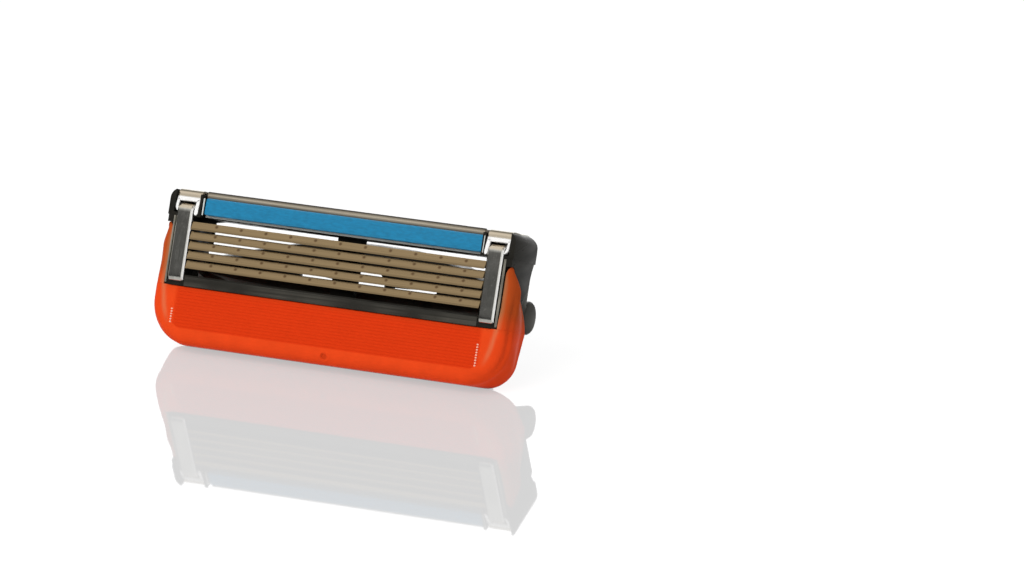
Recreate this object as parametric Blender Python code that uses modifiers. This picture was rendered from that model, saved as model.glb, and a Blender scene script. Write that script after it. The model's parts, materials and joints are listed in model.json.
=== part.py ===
"""Five-blade razor cartridge: a blade unit on a pivoting connector, without a handle.

Every size below is in millimetres, in the cartridge's own frame: x along the blades, y from the
guard to the cap, z out of the face, with the front of the clips at z = 0 and y = 0 at the middle of
the clips. The whole cartridge then leans back on its connector, with its lowest edge on the floor.
"""

import math

import bmesh
import bpy
from mathutils import Matrix, Vector

MM = 0.001

# Pose
LEAN = 21.0

# Modelling: how far joined shapes reach into each other, how far a cutter runs past a face, the step
# which keeps two faces out of one plane, and the angle above which an edge is shaded sharp
OVERLAP = 0.3
PAST = 1.0
SKIN = 0.02
SHARP_ANGLE = 35.0

# Blades and their supports, counted from the guard
BLADE_COUNT = 5
BLADE_PITCH = 1.05
FIRST_EDGE_Y = -2.61
BLADE_EDGE_Z = -0.12
BLADE_END_PLAY = 0.15
BLADE_WIDTH = 0.92
BLADE_THICKNESS = 0.10
BLADE_BEVEL = 0.3
BLADE_ANGLE = 21.0
WELD_GAP = 0.03
SUPPORT_THICKNESS = 0.25
SUPPORT_SET_BACK = 0.25
SUPPORT_LOW_Z = -2.3
TAB_LENGTH = 0.75
BLADE_TRAVEL = 0.25

# Housing
HOUSING_HALF = 19.6
HOUSING_FRONT_Z = -0.35
CAP_BACK_Z = -5.1
GUARD_BACK_Z = -4.0
RAIL_WIDTH = 2.1
GUARD_EDGE = 0.73
GUARD_BAR = 0.86
CAP_EDGE = 1.41
CAP_TOP_EDGE = 0.45
CORNER_RADIUS = 1.1
CORNER_STEPS = 6
WEDGE_CAP_EDGE = 0.8
WEDGE_GUARD_EDGE = 0.6
CHEEK_OVERHANG = 0.8
CHEEK_RISE = 0.4
CHEEK_HEIGHT = 2.9
CHEEK_FOOT_LENGTH = 2.85
CHEEK_DEPTH = 1.3
CHEEK_REAR_RADIUS = 1.6
CHEEK_STEP = 0.1
TAIL_INSET = 0.1
TAIL_GAP = 0.12
TAIL_LOW_Y = -1.5
TAIL_LOW_DEPTH = 0.4
TAIL_BEND_Y = 0.2
TAIL_BEND_RISE = 0.84
BASE_INSET = 1.7
BASE_THICKNESS = 1.5
BASE_RADIUS = 3.6
BLOCK_GAP = 0.6
BLOCK_RISE = 0.6
BLOCK_LOW_EDGE = 0.6
BLOCK_TOP_EDGE = 0.4
STRUT_HALF = 1.35
STRUT_DEPTH = 0.8
FINGER_LENGTH = 2.1
FINGER_HEIGHT = 0.3
FINGER_HALF = 0.22
FINGER_CLEARANCE = 0.15
SLOT_CLEARANCE = 0.1
SLOT_PLAY = 0.07

# Guard
GUARD_OVERHANG = 0.9
GUARD_FIT = 0.08
GUARD_HEIGHT = 6.52
GUARD_FRONT_Z = -0.4
GUARD_HEEL_RISE = 0.5
GUARD_END_RISE = 1.8
GUARD_RADIUS = 4.75
GUARD_ROLL = 1.4
GUARD_HEEL = 0.17
GUARD_GAP = 0.1
GUARD_WALL = 0.9
GUARD_RIM = 1.4
ARM_FRONT_Z = -0.65
ARM_ROLL = 0.6
ARM_TIP_DROP = 0.9
ARM_TIP_FALL = 0.1
ARM_TIP_DEPTH = 0.25
ARM_MID_Y = 0.0
ARM_MID_Z = -2.6
ARM_ROOT_RISE = 1.2
ARM_ROOT_DEPTH = 0.8
ARM_GAP = 0.08
PAD_RISE = 0.3
FIN_COUNT = 14
FIN_PITCH = 0.34
FIN_GROOVE = 0.16
FIN_DEPTH = 0.22
FIN_MARGIN = 2.5
FIN_EDGE = 0.47
ANCHOR_LOW_EDGE = 1.2
ANCHOR_TOP_EDGE = 0.92
ANCHOR_CENTRE_HALF = 4.4
ANCHOR_END_WIDTH = 4.0
ANCHOR_END_EDGE = 1.3

# Strip on the cap
STRIP_CLIP_GAP = 0.53
STRIP_EDGE = 0.2
STRIP_WIDTH = 1.8
STRIP_FRONT_Z = -0.6
STRIP_FALL = 0.35
STRIP_SHOULDER = 0.15
STRIP_SEAT_Z = -1.65
STRIP_GAP = 0.05
STRIP_END_PLAY = 0.15
BACKING_RIM = 0.12
BACKING_DEPTH = 0.35

# Clips
CLIP_STAND = 0.85
CLIP_WIDTH = 1.83
CLIP_HEAD_INNER = 1.42
CLIP_HEAD_OUTER = 1.36
CLIP_RISE = 0.43
CLIP_HEAD_HEIGHT = 2.53
CLIP_HEAD_Z = -0.76
CLIP_NECK_DROP = 2.18
CLIP_BEND_DROP = 1.38
CLIP_HOOK_DROP = 1.58
CLIP_FRONT_RADIUS = 0.75
CLIP_REAR_RADIUS = 1.9
CLIP_LEG_EDGE = 0.52
CLIP_THICKNESS = 0.25
CLIP_CHAMFER = 0.18
CLIP_LEG_Z = -2.6
CLIP_BACK_GAP = 0.35
CLIP_HOLE_RADIUS = 0.42
CLIP_HOLE_Z = -2.7
CLIP_SLOT_PLAY = 0.08

# Trimmer on the cap wall
CARRIER_LIP_GAP = 0.04
CARRIER_LIP_Z = -1.1
CARRIER_THICKNESS = 0.25
CARRIER_GAP = 0.05
CARRIER_RIDGE = 0.14
CARRIER_CHAMFER = 0.1
CARRIER_LIP_WIDTH = 0.4
CARRIER_RAIL_WIDTH = 0.28
CARRIER_SLOPE = 0.13
COMB_GAP = 0.1
COMB_EDGE = 0.05
COMB_WIDTH = 0.6
COMB_RIB_COUNT = 15
COMB_RIB_WIDTH = 0.3
COMB_RIB_RISE = 0.22
COMB_THICKNESS = 0.2
TRIM_BLADE_GAP = 0.1
TRIM_BLADE_THICKNESS = 0.15
TRIM_BLADE_PROUD = 0.07
TRIM_BLADE_SEAT = 0.97
TRIM_BLADE_ROOT = 1.25
TRIM_BLADE_PLAY = 0.05
TRIM_BLADE_NECK = 0.2
TRIM_BLADE_SHOULDER = 0.1

# Pivot and connector
PIVOT_Y = -1.2
PIVOT_Z = -3.5
PIVOT_RANGE = 45.0
PIN_RADIUS = 0.5
PIN_LENGTH = 0.65
PIN_PLAY = 0.06
PIN_END_PLAY = 0.1
EYE_RADIUS = 1.0
CONNECTOR_ARM_INSET = 0.2
CONNECTOR_ARM_THICKNESS = 0.85
CONNECTOR_ARM_HALF = 0.85
WEB_GAP = 0.22
WEB_DEPTH = 1.28
WEB_TOP = 3.2
WEB_ROUND = 0.3
LOBE_Y = -2.65
LOBE_Z = -9.3
LOBE_RADIUS = 1.9
LOBE_NECK = 0.8
LOBE_ROUND = 0.5
LOBE_LENGTH = 5.98
LOBE_PROUD = 0.08
LOBE_PLAY = 0.25
POCKET_PLAY = 0.12
COLLAR_HALF = 12.0
COLLAR_TOP = 3.1
COLLAR_LENGTH = 4.0
COLLAR_FLARE = 0.5
COLLAR_MID_FLARE = 0.15
WING_INSET = 0.3
WING_DEPTH = 4.6
WING_HEIGHT = 2.7
SHELL_WALL = 1.1
STOP_CLEARANCE = 0.3
FLOOR_DEPTH = 2.0
FLOOR_THICKNESS = 0.7
DOCK_PAD_RISE = 0.2
DOCK_PAD_GAP = 0.4
SHELL_POWER = 2.7
SHELL_POINTS = 56
SHELL_SHARES = (0.0, 0.22, 0.45, 0.68, 0.86, 1.0)
DOCK_HOLE_HALF = 2.05
DOCK_HOLE_FLAT = 1.9
DOCK_SLOT_IN = 2.9
DOCK_SLOT_LENGTH = 5.3
DOCK_SLOT_HEIGHT = 0.55
DOCK_SLOT_BOW = 0.5
DOCK_SLOT_STEPS = 4
ARCH_EDGE = 4.5
ARCH_RISE = 3.3
ARCH_STEPS = 20

# Places along the blades, from the housing's half length
WINDOW_HALF = HOUSING_HALF - RAIL_WIDTH
BLADE_HALF = WINDOW_HALF - BLADE_END_PLAY
TAB_HALF = BLADE_HALF + TAB_LENGTH
CHEEK_HALF = HOUSING_HALF + CHEEK_OVERHANG
CHEEK_IN = WINDOW_HALF - CHEEK_STEP
BASE_HALF = HOUSING_HALF - BASE_INSET
GUARD_HALF = HOUSING_HALF + GUARD_OVERHANG
FIN_HALF = GUARD_HALF - FIN_MARGIN
ANCHOR_END_OUT = BASE_HALF - ANCHOR_END_EDGE
ANCHOR_END_IN = ANCHOR_END_OUT - ANCHOR_END_WIDTH
BLOCK_IN = ANCHOR_CENTRE_HALF + BLOCK_GAP
BLOCK_OUT = ANCHOR_END_IN - BLOCK_GAP
CLIP_X = WINDOW_HALF + CLIP_STAND
CLIP_IN = CLIP_X - CLIP_WIDTH / 2
CLIP_OUT = CLIP_X + CLIP_WIDTH / 2
CLIP_HEAD_IN = CLIP_X - CLIP_HEAD_INNER
CLIP_HEAD_OUT = CLIP_X + CLIP_HEAD_OUTER
STRIP_HALF = CLIP_HEAD_IN - STRIP_CLIP_GAP
TRIM_BLADE_HALF = CLIP_HEAD_IN + TRIM_BLADE_SEAT
CONNECTOR_ARM_OUT = HOUSING_HALF - CONNECTOR_ARM_INSET
CONNECTOR_ARM_IN = CONNECTOR_ARM_OUT - CONNECTOR_ARM_THICKNESS
PIN_IN_X = CONNECTOR_ARM_IN - PIN_LENGTH
LOBE_OUT = CONNECTOR_ARM_OUT + LOBE_PROUD
LOBE_IN = LOBE_OUT - LOBE_LENGTH
WING_HALF = CONNECTOR_ARM_OUT - WING_INSET
ARCH_HALF = WING_HALF - ARCH_EDGE

# Places from the guard to the cap, from the first blade's edge
LAST_EDGE_Y = FIRST_EDGE_Y + (BLADE_COUNT - 1) * BLADE_PITCH
WINDOW_LOW = FIRST_EDGE_Y - GUARD_EDGE
WINDOW_TOP = LAST_EDGE_Y + CAP_EDGE
HOUSING_LOW = WINDOW_LOW - GUARD_BAR
STRIP_LOW = WINDOW_TOP + STRIP_EDGE
STRIP_TOP = STRIP_LOW + STRIP_WIDTH
HOUSING_TOP = STRIP_TOP + CAP_TOP_EDGE
CHEEK_TOP = HOUSING_TOP + CHEEK_RISE
CHEEK_LOW = CHEEK_TOP - CHEEK_HEIGHT
CHEEK_FOOT = CHEEK_LOW - CHEEK_FOOT_LENGTH
GUARD_TOP = HOUSING_LOW - GUARD_FIT
GUARD_LOW = GUARD_TOP - GUARD_HEIGHT
BASE_LOW = GUARD_LOW + GUARD_RIM
FIN_TOP = GUARD_TOP - FIN_EDGE
ANCHOR_LOW = BASE_LOW + ANCHOR_LOW_EDGE
ANCHOR_TOP = GUARD_TOP - ANCHOR_TOP_EDGE
ARM_TIP_Y = CHEEK_LOW - ARM_TIP_DROP
ARM_ROOT_Y = GUARD_TOP + ARM_ROOT_RISE
CLIP_LOW = WINDOW_LOW - CLIP_LEG_EDGE
CLIP_TOP = HOUSING_TOP + CLIP_RISE
CLIP_INNER_TOP = CLIP_TOP - CLIP_THICKNESS
CLIP_HEAD_LOW = CLIP_TOP - CLIP_HEAD_HEIGHT
CLIP_NECK_Y = CLIP_TOP - CLIP_NECK_DROP
CLIP_BEND_Y = CLIP_TOP - CLIP_BEND_DROP
CLIP_HOOK_Y = CLIP_TOP - CLIP_HOOK_DROP
CARRIER_LIP_Y = STRIP_TOP + BACKING_RIM + CARRIER_LIP_GAP
CARRIER_INNER = HOUSING_TOP + CARRIER_GAP
CARRIER_OUTER = CARRIER_INNER + CARRIER_THICKNESS
TRIM_BLADE_EDGE_Y = CLIP_TOP + TRIM_BLADE_PROUD
TRIM_BLADE_LOW = HOUSING_TOP - TRIM_BLADE_ROOT

# Depths
TAB_LOW_Z = SUPPORT_LOW_Z - BLADE_TRAVEL
CHEEK_REAR_Z = CAP_BACK_Z - CHEEK_DEPTH
CLIP_BACK_Z = CHEEK_REAR_Z - CLIP_BACK_GAP
BASE_FRONT_Z = GUARD_BACK_Z + BASE_THICKNESS
GUARD_REAR_Z = GUARD_BACK_Z - GUARD_HEEL_RISE
GUARD_END_Z = GUARD_REAR_Z - GUARD_END_RISE
ARM_TIP_Z = ARM_FRONT_Z - ARM_TIP_FALL - ARM_TIP_DEPTH
ARM_ROOT_Z = GUARD_END_Z + ARM_ROOT_DEPTH
STRIP_SPLIT_Z = STRIP_SEAT_Z + BACKING_DEPTH
COMB_REAR_Z = CAP_BACK_Z + COMB_EDGE
COMB_FRONT_Z = COMB_REAR_Z + COMB_WIDTH
CARRIER_REAR_Z = COMB_FRONT_Z + COMB_GAP
TRIM_BLADE_FRONT_Z = CAP_BACK_Z - TRIM_BLADE_GAP
TRIM_BLADE_REAR_Z = TRIM_BLADE_FRONT_Z - TRIM_BLADE_THICKNESS
WING_FRONT_Z = LOBE_Z + LOBE_RADIUS
FLOOR_FRONT_Z = WING_FRONT_Z - FLOOR_DEPTH
FLOOR_REAR_Z = FLOOR_FRONT_Z - FLOOR_THICKNESS
DOCK_PAD_Z = FLOOR_REAR_Z - DOCK_PAD_RISE
COLLAR_FRONT_Z = WING_FRONT_Z - WING_DEPTH
WEB_FRONT_Z = CHEEK_REAR_Z - WEB_GAP
WEB_REAR_Z = WEB_FRONT_Z - WEB_DEPTH
COLLAR_REAR_Z = COLLAR_FRONT_Z - COLLAR_LENGTH

# Angles, and the collar's underside, which lies on the floor with the guard's heel
ARM_SLANT = math.atan2(PIVOT_Y - LOBE_Y, PIVOT_Z - LOBE_Z)
LEAN_COS = math.cos(math.radians(LEAN))
LEAN_TAN = math.tan(math.radians(LEAN))
GUARD_SLOPE = GUARD_END_RISE / GUARD_HEIGHT
HEEL_RADIUS = GUARD_HEEL * math.tan(math.radians(45) + math.atan(GUARD_SLOPE) / 2)
HEEL_Y = GUARD_LOW + HEEL_RADIUS
HEEL_Z = GUARD_REAR_Z + GUARD_HEEL
COLLAR_LOW = HEEL_Y - HEEL_RADIUS / LEAN_COS + (HEEL_Z - COLLAR_REAR_Z) * LEAN_TAN
DOCK_Y = (COLLAR_LOW + COLLAR_TOP) / 2
ANGLE_COS = math.cos(math.radians(BLADE_ANGLE))
ANGLE_SIN = math.sin(math.radians(BLADE_ANGLE))

parts = None
cutters = None
frame = None


def new_collection(name, hidden):
    """A collection in the scene. Helpers go in a hidden one."""
    made = bpy.data.collections.new(name)
    made.hide_render = hidden
    bpy.context.scene.collection.children.link(made)
    return made


def new_empty(name, parent, at):
    """An empty, at a point of the cartridge frame."""
    made = bpy.data.objects.new(name, None)
    made.empty_display_size = 2 * MM
    made.location = Vector(at) * MM
    made.parent = parent
    parts.objects.link(made)
    return made


def new_material(name, colour, metallic, roughness):
    """A plain Principled material."""
    made = bpy.data.materials.new(name)
    made.use_nodes = True
    shader = made.node_tree.nodes["Principled BSDF"]
    shader.inputs["Base Color"].default_value = (*colour, 1)
    shader.inputs["Metallic"].default_value = metallic
    shader.inputs["Roughness"].default_value = roughness
    return made


def new_solid(name, mesh, helper):
    """An object around this bmesh, facing out, in the cartridge frame. A helper is hidden."""
    bmesh.ops.recalc_face_normals(mesh, faces=mesh.faces)
    data = bpy.data.meshes.new(name)
    mesh.to_mesh(data)
    mesh.free()
    made = bpy.data.objects.new(name, data)
    made.parent = frame
    if helper:
        made.hide_render = True
        made.display_type = "WIRE"
        cutters.objects.link(made)
    else:
        parts.objects.link(made)
    return made


def prism(name, outline, axis, low, high, helper=True):
    """An outline pushed along one axis. The outline's pairs are (y, z), (x, z) or (x, y)."""
    place = {"x": (1, 2), "y": (0, 2), "z": (0, 1)}[axis]
    along = "xyz".index(axis)
    mesh = bmesh.new()
    ring = []
    for pair in outline:
        point = [0.0, 0.0, 0.0]
        point[place[0]], point[place[1]] = pair
        point[along] = low
        ring.append(mesh.verts.new(Vector(point) * MM))
    face = mesh.faces.new(ring)
    pushed = bmesh.ops.extrude_face_region(mesh, geom=[face])
    push = Vector((0, 0, 0))
    push[along] = (high - low) * MM
    moved = [item for item in pushed["geom"] if isinstance(item, bmesh.types.BMVert)]
    bmesh.ops.translate(mesh, vec=push, verts=moved)
    return new_solid(name, mesh, helper)


def box(name, x, y, z, helper=True):
    """A box between two values on each axis."""
    mesh = bmesh.new()
    middle = Vector([(low + high) / 2 for low, high in (x, y, z)]) * MM
    sides = Matrix.Diagonal([(high - low) * MM for low, high in (x, y, z)] + [1])
    bmesh.ops.create_cube(mesh, size=1, matrix=Matrix.Translation(middle) @ sides)
    return new_solid(name, mesh, helper)


def cone(name, centre, radii, ends, axis="x", steps=28):
    """A round helper along x or y, with a radius for each end, around a centre in the other two axes."""
    along = "xyz".index(axis)
    middle = list(centre)
    middle.insert(along, sum(ends) / 2)
    across, angle = {"x": ("Y", math.pi / 2), "y": ("X", -math.pi / 2)}[axis]
    turn = Matrix.Rotation(angle, 4, across)
    mesh = bmesh.new()
    bmesh.ops.create_cone(
        mesh,
        cap_ends=True,
        segments=steps,
        radius1=radii[0] * MM,
        radius2=radii[1] * MM,
        depth=(ends[1] - ends[0]) * MM,
        matrix=Matrix.Translation(Vector(middle) * MM) @ turn,
    )
    return new_solid(name, mesh, True)


def rod(name, centre, radius, ends, axis="x", steps=28):
    """A round helper with one radius."""
    return cone(name, centre, (radius, radius), ends, axis, steps)


def arc(centre, radius, start, stop, steps):
    """Points on a circle, from one angle to another in degrees."""
    turns = [math.radians(start + (stop - start) * k / steps) for k in range(steps + 1)]
    return [(centre[0] + radius * math.cos(t), centre[1] + radius * math.sin(t)) for t in turns]


def rounded_tray(half, low, top, radius, steps):
    """A rectangle, symmetric in x, with its two lower corners rounded."""
    left = arc((-half + radius, low + radius), radius, 180, 270, steps)
    right = arc((half - radius, low + radius), radius, 270, 360, steps)
    return [(-half, top)] + left + right + [(half, top)]


def combine(solid, tool, operation):
    """A Boolean of the solid with a helper."""
    made = solid.modifiers.new(tool.name, "BOOLEAN")
    made.object = tool
    made.operation = operation
    made.solver = "EXACT"
    made.use_self = False


def join(solid, *tools):
    for tool in tools:
        combine(solid, tool, "UNION")


def cut(solid, *tools):
    for tool in tools:
        combine(solid, tool, "DIFFERENCE")


def round_edges(solid, picked, radius, segments):
    """A Bevel on the edges whose middle passes the test."""
    mesh = bmesh.new()
    mesh.from_mesh(solid.data)
    weight = mesh.edges.layers.float.new("bevel_weight_edge")
    for edge in mesh.edges:
        if picked((edge.verts[0].co + edge.verts[1].co) / (2 * MM)):
            edge[weight] = 1.0
    mesh.to_mesh(solid.data)
    mesh.free()
    made = solid.modifiers.new("round", "BEVEL")
    made.limit_method = "WEIGHT"
    made.width = radius * MM
    made.segments = segments
    made.use_clamp_overlap = False


def blade_point(edge_y, along, below):
    """A point along a blade from its edge, and below its upper face, as (y, z)."""
    y = edge_y + along * ANGLE_COS - below * ANGLE_SIN
    z = BLADE_EDGE_Z - along * ANGLE_SIN - below * ANGLE_COS
    return y, z


def base_of(edge_y):
    """The two y values of the upright part of a support."""
    rear = blade_point(edge_y, BLADE_WIDTH, BLADE_THICKNESS + WELD_GAP)[0]
    return rear - SUPPORT_THICKNESS, rear


def edges_y():
    return [FIRST_EDGE_Y + k * BLADE_PITCH for k in range(BLADE_COUNT)]


def make_blades():
    """Each blade, and the bent support that it is welded to."""
    made = []
    for number, edge_y in enumerate(edges_y(), 1):
        section = [
            blade_point(edge_y, 0, 0),
            blade_point(edge_y, BLADE_WIDTH, 0),
            blade_point(edge_y, BLADE_WIDTH, BLADE_THICKNESS),
            blade_point(edge_y, BLADE_BEVEL, BLADE_THICKNESS),
        ]
        blade = prism(f"blade_{number}", section, "x", -BLADE_HALF, BLADE_HALF, False)
        front, rear = base_of(edge_y)
        top = BLADE_THICKNESS + WELD_GAP
        low = top + SUPPORT_THICKNESS
        bend_along = (front - edge_y + low * ANGLE_SIN) / ANGLE_COS
        section = [
            blade_point(edge_y, SUPPORT_SET_BACK, top),
            blade_point(edge_y, BLADE_WIDTH, top),
            (rear, SUPPORT_LOW_Z),
            (front, SUPPORT_LOW_Z),
            blade_point(edge_y, bend_along, low),
            blade_point(edge_y, SUPPORT_SET_BACK, low),
        ]
        support = prism(f"blade_support_{number}", section, "x", -BLADE_HALF, BLADE_HALF, False)
        rows = (front + SKIN, rear - SKIN)
        deep = (SUPPORT_LOW_Z + SKIN, blade_point(edge_y, BLADE_WIDTH, top)[1] - SKIN)
        join(support, box(f"tab_{number}", (-TAB_HALF, TAB_HALF), rows, deep))
        made.append((blade, support))
    return made


def make_housing():
    """The frame: side rails, cap bar, guard bar, base plate, strut, fingers, slots and pivot bores."""
    outline = [(-HOUSING_HALF, HOUSING_LOW), (HOUSING_HALF, HOUSING_LOW)]
    radius = CORNER_RADIUS
    outline += arc((HOUSING_HALF - radius, HOUSING_TOP - radius), radius, 0, 90, CORNER_STEPS)
    outline += arc((-HOUSING_HALF + radius, HOUSING_TOP - radius), radius, 90, 180, CORNER_STEPS)
    housing = prism("housing", outline, "z", CAP_BACK_Z, HOUSING_FRONT_Z, False)
    wedge = [
        (WINDOW_TOP - WEDGE_CAP_EDGE, CAP_BACK_Z),
        (WINDOW_LOW + WEDGE_GUARD_EDGE, GUARD_BACK_Z),
        (HOUSING_LOW - PAST, GUARD_BACK_Z),
        (HOUSING_LOW - PAST, CAP_BACK_Z - PAST),
        (WINDOW_TOP - WEDGE_CAP_EDGE, CAP_BACK_Z - PAST),
    ]
    cut(housing, prism("rear_wedge", wedge, "x", -HOUSING_HALF - PAST, HOUSING_HALF + PAST))
    for side in (-1, 1):
        join(housing, make_cheek(side))
    through = (CAP_BACK_Z - PAST, PAST)
    cut(housing, box("window", (-WINDOW_HALF, WINDOW_HALF), (WINDOW_LOW, WINDOW_TOP), through))
    seat_half = STRIP_HALF + STRIP_END_PLAY
    rows = (WINDOW_TOP - PAST, HOUSING_TOP + PAST)
    cut(housing, box("strip_seat", (-seat_half, seat_half), rows, (STRIP_SEAT_Z - STRIP_GAP, PAST)))

    plate = prism(
        "base_plate",
        rounded_tray(BASE_HALF, BASE_LOW, HOUSING_LOW + OVERLAP, BASE_RADIUS, CORNER_STEPS),
        "z",
        GUARD_BACK_Z + SKIN,
        BASE_FRONT_Z,
    )
    strut = [
        (WINDOW_LOW - OVERLAP, GUARD_BACK_Z + STRUT_DEPTH),
        (WINDOW_TOP + OVERLAP, GUARD_BACK_Z + STRUT_DEPTH),
        (WINDOW_TOP + OVERLAP, CAP_BACK_Z + OVERLAP),
        (WINDOW_LOW - OVERLAP, GUARD_BACK_Z + SKIN),
    ]
    join(housing, plate, prism("strut", strut, "x", -STRUT_HALF, STRUT_HALF))
    for side in (-1, 1):
        foot = GUARD_BACK_Z + OVERLAP
        tip = GUARD_BACK_Z - BLOCK_RISE
        block = [
            (side * BLOCK_IN, foot),
            (side * BLOCK_OUT, foot),
            (side * (BLOCK_OUT - BLOCK_RISE), tip),
            (side * (BLOCK_IN + BLOCK_RISE), tip),
        ]
        rows = (BASE_LOW + BLOCK_LOW_EDGE, HOUSING_LOW - BLOCK_TOP_EDGE)
        join(housing, prism(f"block_{side}", block, "y", *rows))
    finger_top = TAB_LOW_Z - FINGER_CLEARANCE
    slot_deep = (TAB_LOW_Z - SLOT_CLEARANCE, PAST)
    slot_out = TAB_HALF + SLOT_PLAY
    for number, edge_y in enumerate(edges_y(), 1):
        front, rear = base_of(edge_y)
        middle = (front + rear) / 2
        for side in (-1, 1):
            name = f"{number}_{side}"
            reach = sorted((side * (WINDOW_HALF - FINGER_LENGTH), side * (WINDOW_HALF + OVERLAP)))
            finger = box(
                f"finger_{name}",
                reach,
                (middle - FINGER_HALF, middle + FINGER_HALF),
                (finger_top - FINGER_HEIGHT, finger_top),
            )
            reach = sorted((side * (WINDOW_HALF - OVERLAP), side * slot_out))
            slot = box(f"slot_{name}", reach, (front - SLOT_PLAY, rear + SLOT_PLAY), slot_deep)
            join(housing, finger)
            cut(housing, slot)
    windows = [(-ANCHOR_CENTRE_HALF, ANCHOR_CENTRE_HALF)]
    windows += [sorted((side * ANCHOR_END_IN, side * ANCHOR_END_OUT)) for side in (-1, 1)]
    for number, reach in enumerate(windows):
        cut(housing, box(f"anchor_window_{number}", reach, (ANCHOR_LOW, ANCHOR_TOP), through))
    for side in (-1, 1):
        cut_pivot(housing, side)
        cut_clip_seat(housing, side)
    rows = (TRIM_BLADE_LOW - TRIM_BLADE_PLAY, CLIP_INNER_TOP)
    deep = (TRIM_BLADE_REAR_Z - TRIM_BLADE_PLAY, TRIM_BLADE_FRONT_Z + TRIM_BLADE_PLAY)
    reach = TRIM_BLADE_HALF + TRIM_BLADE_PLAY
    cut(housing, box("trimmer_slot", (-reach, reach), rows, deep))
    return housing


def make_cheek(side):
    """An end of the cap: a deep block with a rounded outer corner and a rounded top at the back."""
    radius = CORNER_RADIUS
    outline = [(CHEEK_IN, CHEEK_FOOT), (HOUSING_HALF, CHEEK_FOOT)]
    outline += [(HOUSING_HALF, CHEEK_LOW), (CHEEK_HALF, CHEEK_LOW)]
    outline += arc((CHEEK_HALF - radius, CHEEK_TOP - radius), radius, 0, 90, CORNER_STEPS)
    outline += [(CHEEK_IN, CHEEK_TOP)]
    outline = [(side * x, y) for x, y in outline]
    cheek = prism(f"cheek_{side}", outline, "z", CHEEK_REAR_Z, HOUSING_FRONT_Z)
    radius = CHEEK_REAR_RADIUS
    corner = arc((CHEEK_TOP - radius, CHEEK_REAR_Z + radius), radius, 270, 360, CORNER_STEPS)
    corner += [(CHEEK_TOP + PAST, CHEEK_REAR_Z + radius), (CHEEK_TOP + PAST, CHEEK_REAR_Z - PAST)]
    corner += [(CHEEK_TOP - radius, CHEEK_REAR_Z - PAST)]
    cut(cheek, prism(f"cheek_round_{side}", corner, "x", -CHEEK_HALF - PAST, CHEEK_HALF + PAST))
    slope = (ARM_MID_Z - ARM_ROOT_Z) / (ARM_MID_Y - ARM_ROOT_Y)
    low_z = ARM_MID_Z + (TAIL_LOW_Y - ARM_MID_Y) * slope - 2 * TAIL_GAP
    tail = [
        (CHEEK_LOW + OVERLAP, HOUSING_FRONT_Z - SKIN),
        (ARM_TIP_Y + TAIL_GAP, HOUSING_FRONT_Z - SKIN),
        (ARM_TIP_Y + TAIL_GAP, ARM_TIP_Z - TAIL_GAP),
        (ARM_MID_Y + TAIL_GAP, ARM_MID_Z - TAIL_GAP),
        (TAIL_LOW_Y, low_z),
        (TAIL_LOW_Y, low_z - TAIL_LOW_DEPTH),
        (TAIL_BEND_Y, CHEEK_REAR_Z + TAIL_BEND_RISE),
        (ARM_TIP_Y, CHEEK_REAR_Z + TAIL_BEND_RISE / 2),
        (CHEEK_LOW + OVERLAP, CHEEK_REAR_Z + SKIN),
    ]
    reach = sorted((side * (HOUSING_HALF - OVERLAP), side * (CHEEK_HALF - TAIL_INSET)))
    join(cheek, prism(f"cheek_tail_{side}", tail, "x", *reach))
    return cheek


def cut_clip_seat(housing, side):
    """The slot for a clip's leg, and the seat for its head on the front and over the top."""
    play = CLIP_SLOT_PLAY
    reach = sorted((side * (CLIP_IN - play), side * (CLIP_OUT + play)))
    leg = (CLIP_LOW - play, CLIP_LOW + CLIP_THICKNESS + play)
    cut(housing, box(f"clip_slot_{side}", reach, leg, (CLIP_LEG_Z - play, PAST)))
    reach = sorted((side * (CLIP_HEAD_IN - play), side * (CLIP_HEAD_OUT + play)))
    low = CLIP_HEAD_LOW - play
    seat = clip_path(CLIP_THICKNESS + play, low)
    seat += [(CLIP_HOOK_Y, CHEEK_REAR_Z - PAST), (CHEEK_TOP + PAST, CHEEK_REAR_Z - PAST)]
    seat += [(CHEEK_TOP + PAST, PAST), (low, PAST)]
    cut(housing, prism(f"head_seat_{side}", seat, "x", *reach))


def clip_path(inset, low):
    """A clip's head from its front, over the top and down the back, drawn in by an inset, as (y, z)."""
    front = (CLIP_TOP - CLIP_FRONT_RADIUS, CLIP_HEAD_Z - CLIP_FRONT_RADIUS)
    rear = (CLIP_TOP - CLIP_REAR_RADIUS, CLIP_BACK_Z + CLIP_REAR_RADIUS)
    path = [(low, CLIP_HEAD_Z - inset)]
    path += arc(front, CLIP_FRONT_RADIUS - inset, 90, 0, CORNER_STEPS)
    path += arc(rear, CLIP_REAR_RADIUS - inset, 360, 270, CORNER_STEPS)
    return path + [(CLIP_HOOK_Y, CLIP_BACK_Z + inset)]


def cut_pivot(housing, side):
    """The bore for a pivot pin, and the pocket which the connector's arm swings in."""
    reach = sorted((side * (PIN_IN_X - PIN_END_PLAY), side * HOUSING_HALF))
    cut(housing, rod(f"bore_{side}", (PIVOT_Y, PIVOT_Z), PIN_RADIUS + PIN_PLAY, reach))
    room = EYE_RADIUS + POCKET_PLAY
    far = PIVOT_Z - CAP_BACK_Z + 2 * PAST
    slope = math.tan(math.radians(PIVOT_RANGE) + ARM_SLANT)
    pocket = [
        (PIVOT_Y - room, PIVOT_Z + room),
        (PIVOT_Y + room, PIVOT_Z + room),
        (PIVOT_Y + room, PIVOT_Z - far),
        (PIVOT_Y - room - (far + room) * slope, PIVOT_Z - far),
    ]
    reach = sorted((side * (CONNECTOR_ARM_IN - POCKET_PLAY), side * (HOUSING_HALF + SKIN)))
    cut(housing, prism(f"pocket_{side}", pocket, "x", *reach))


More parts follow.
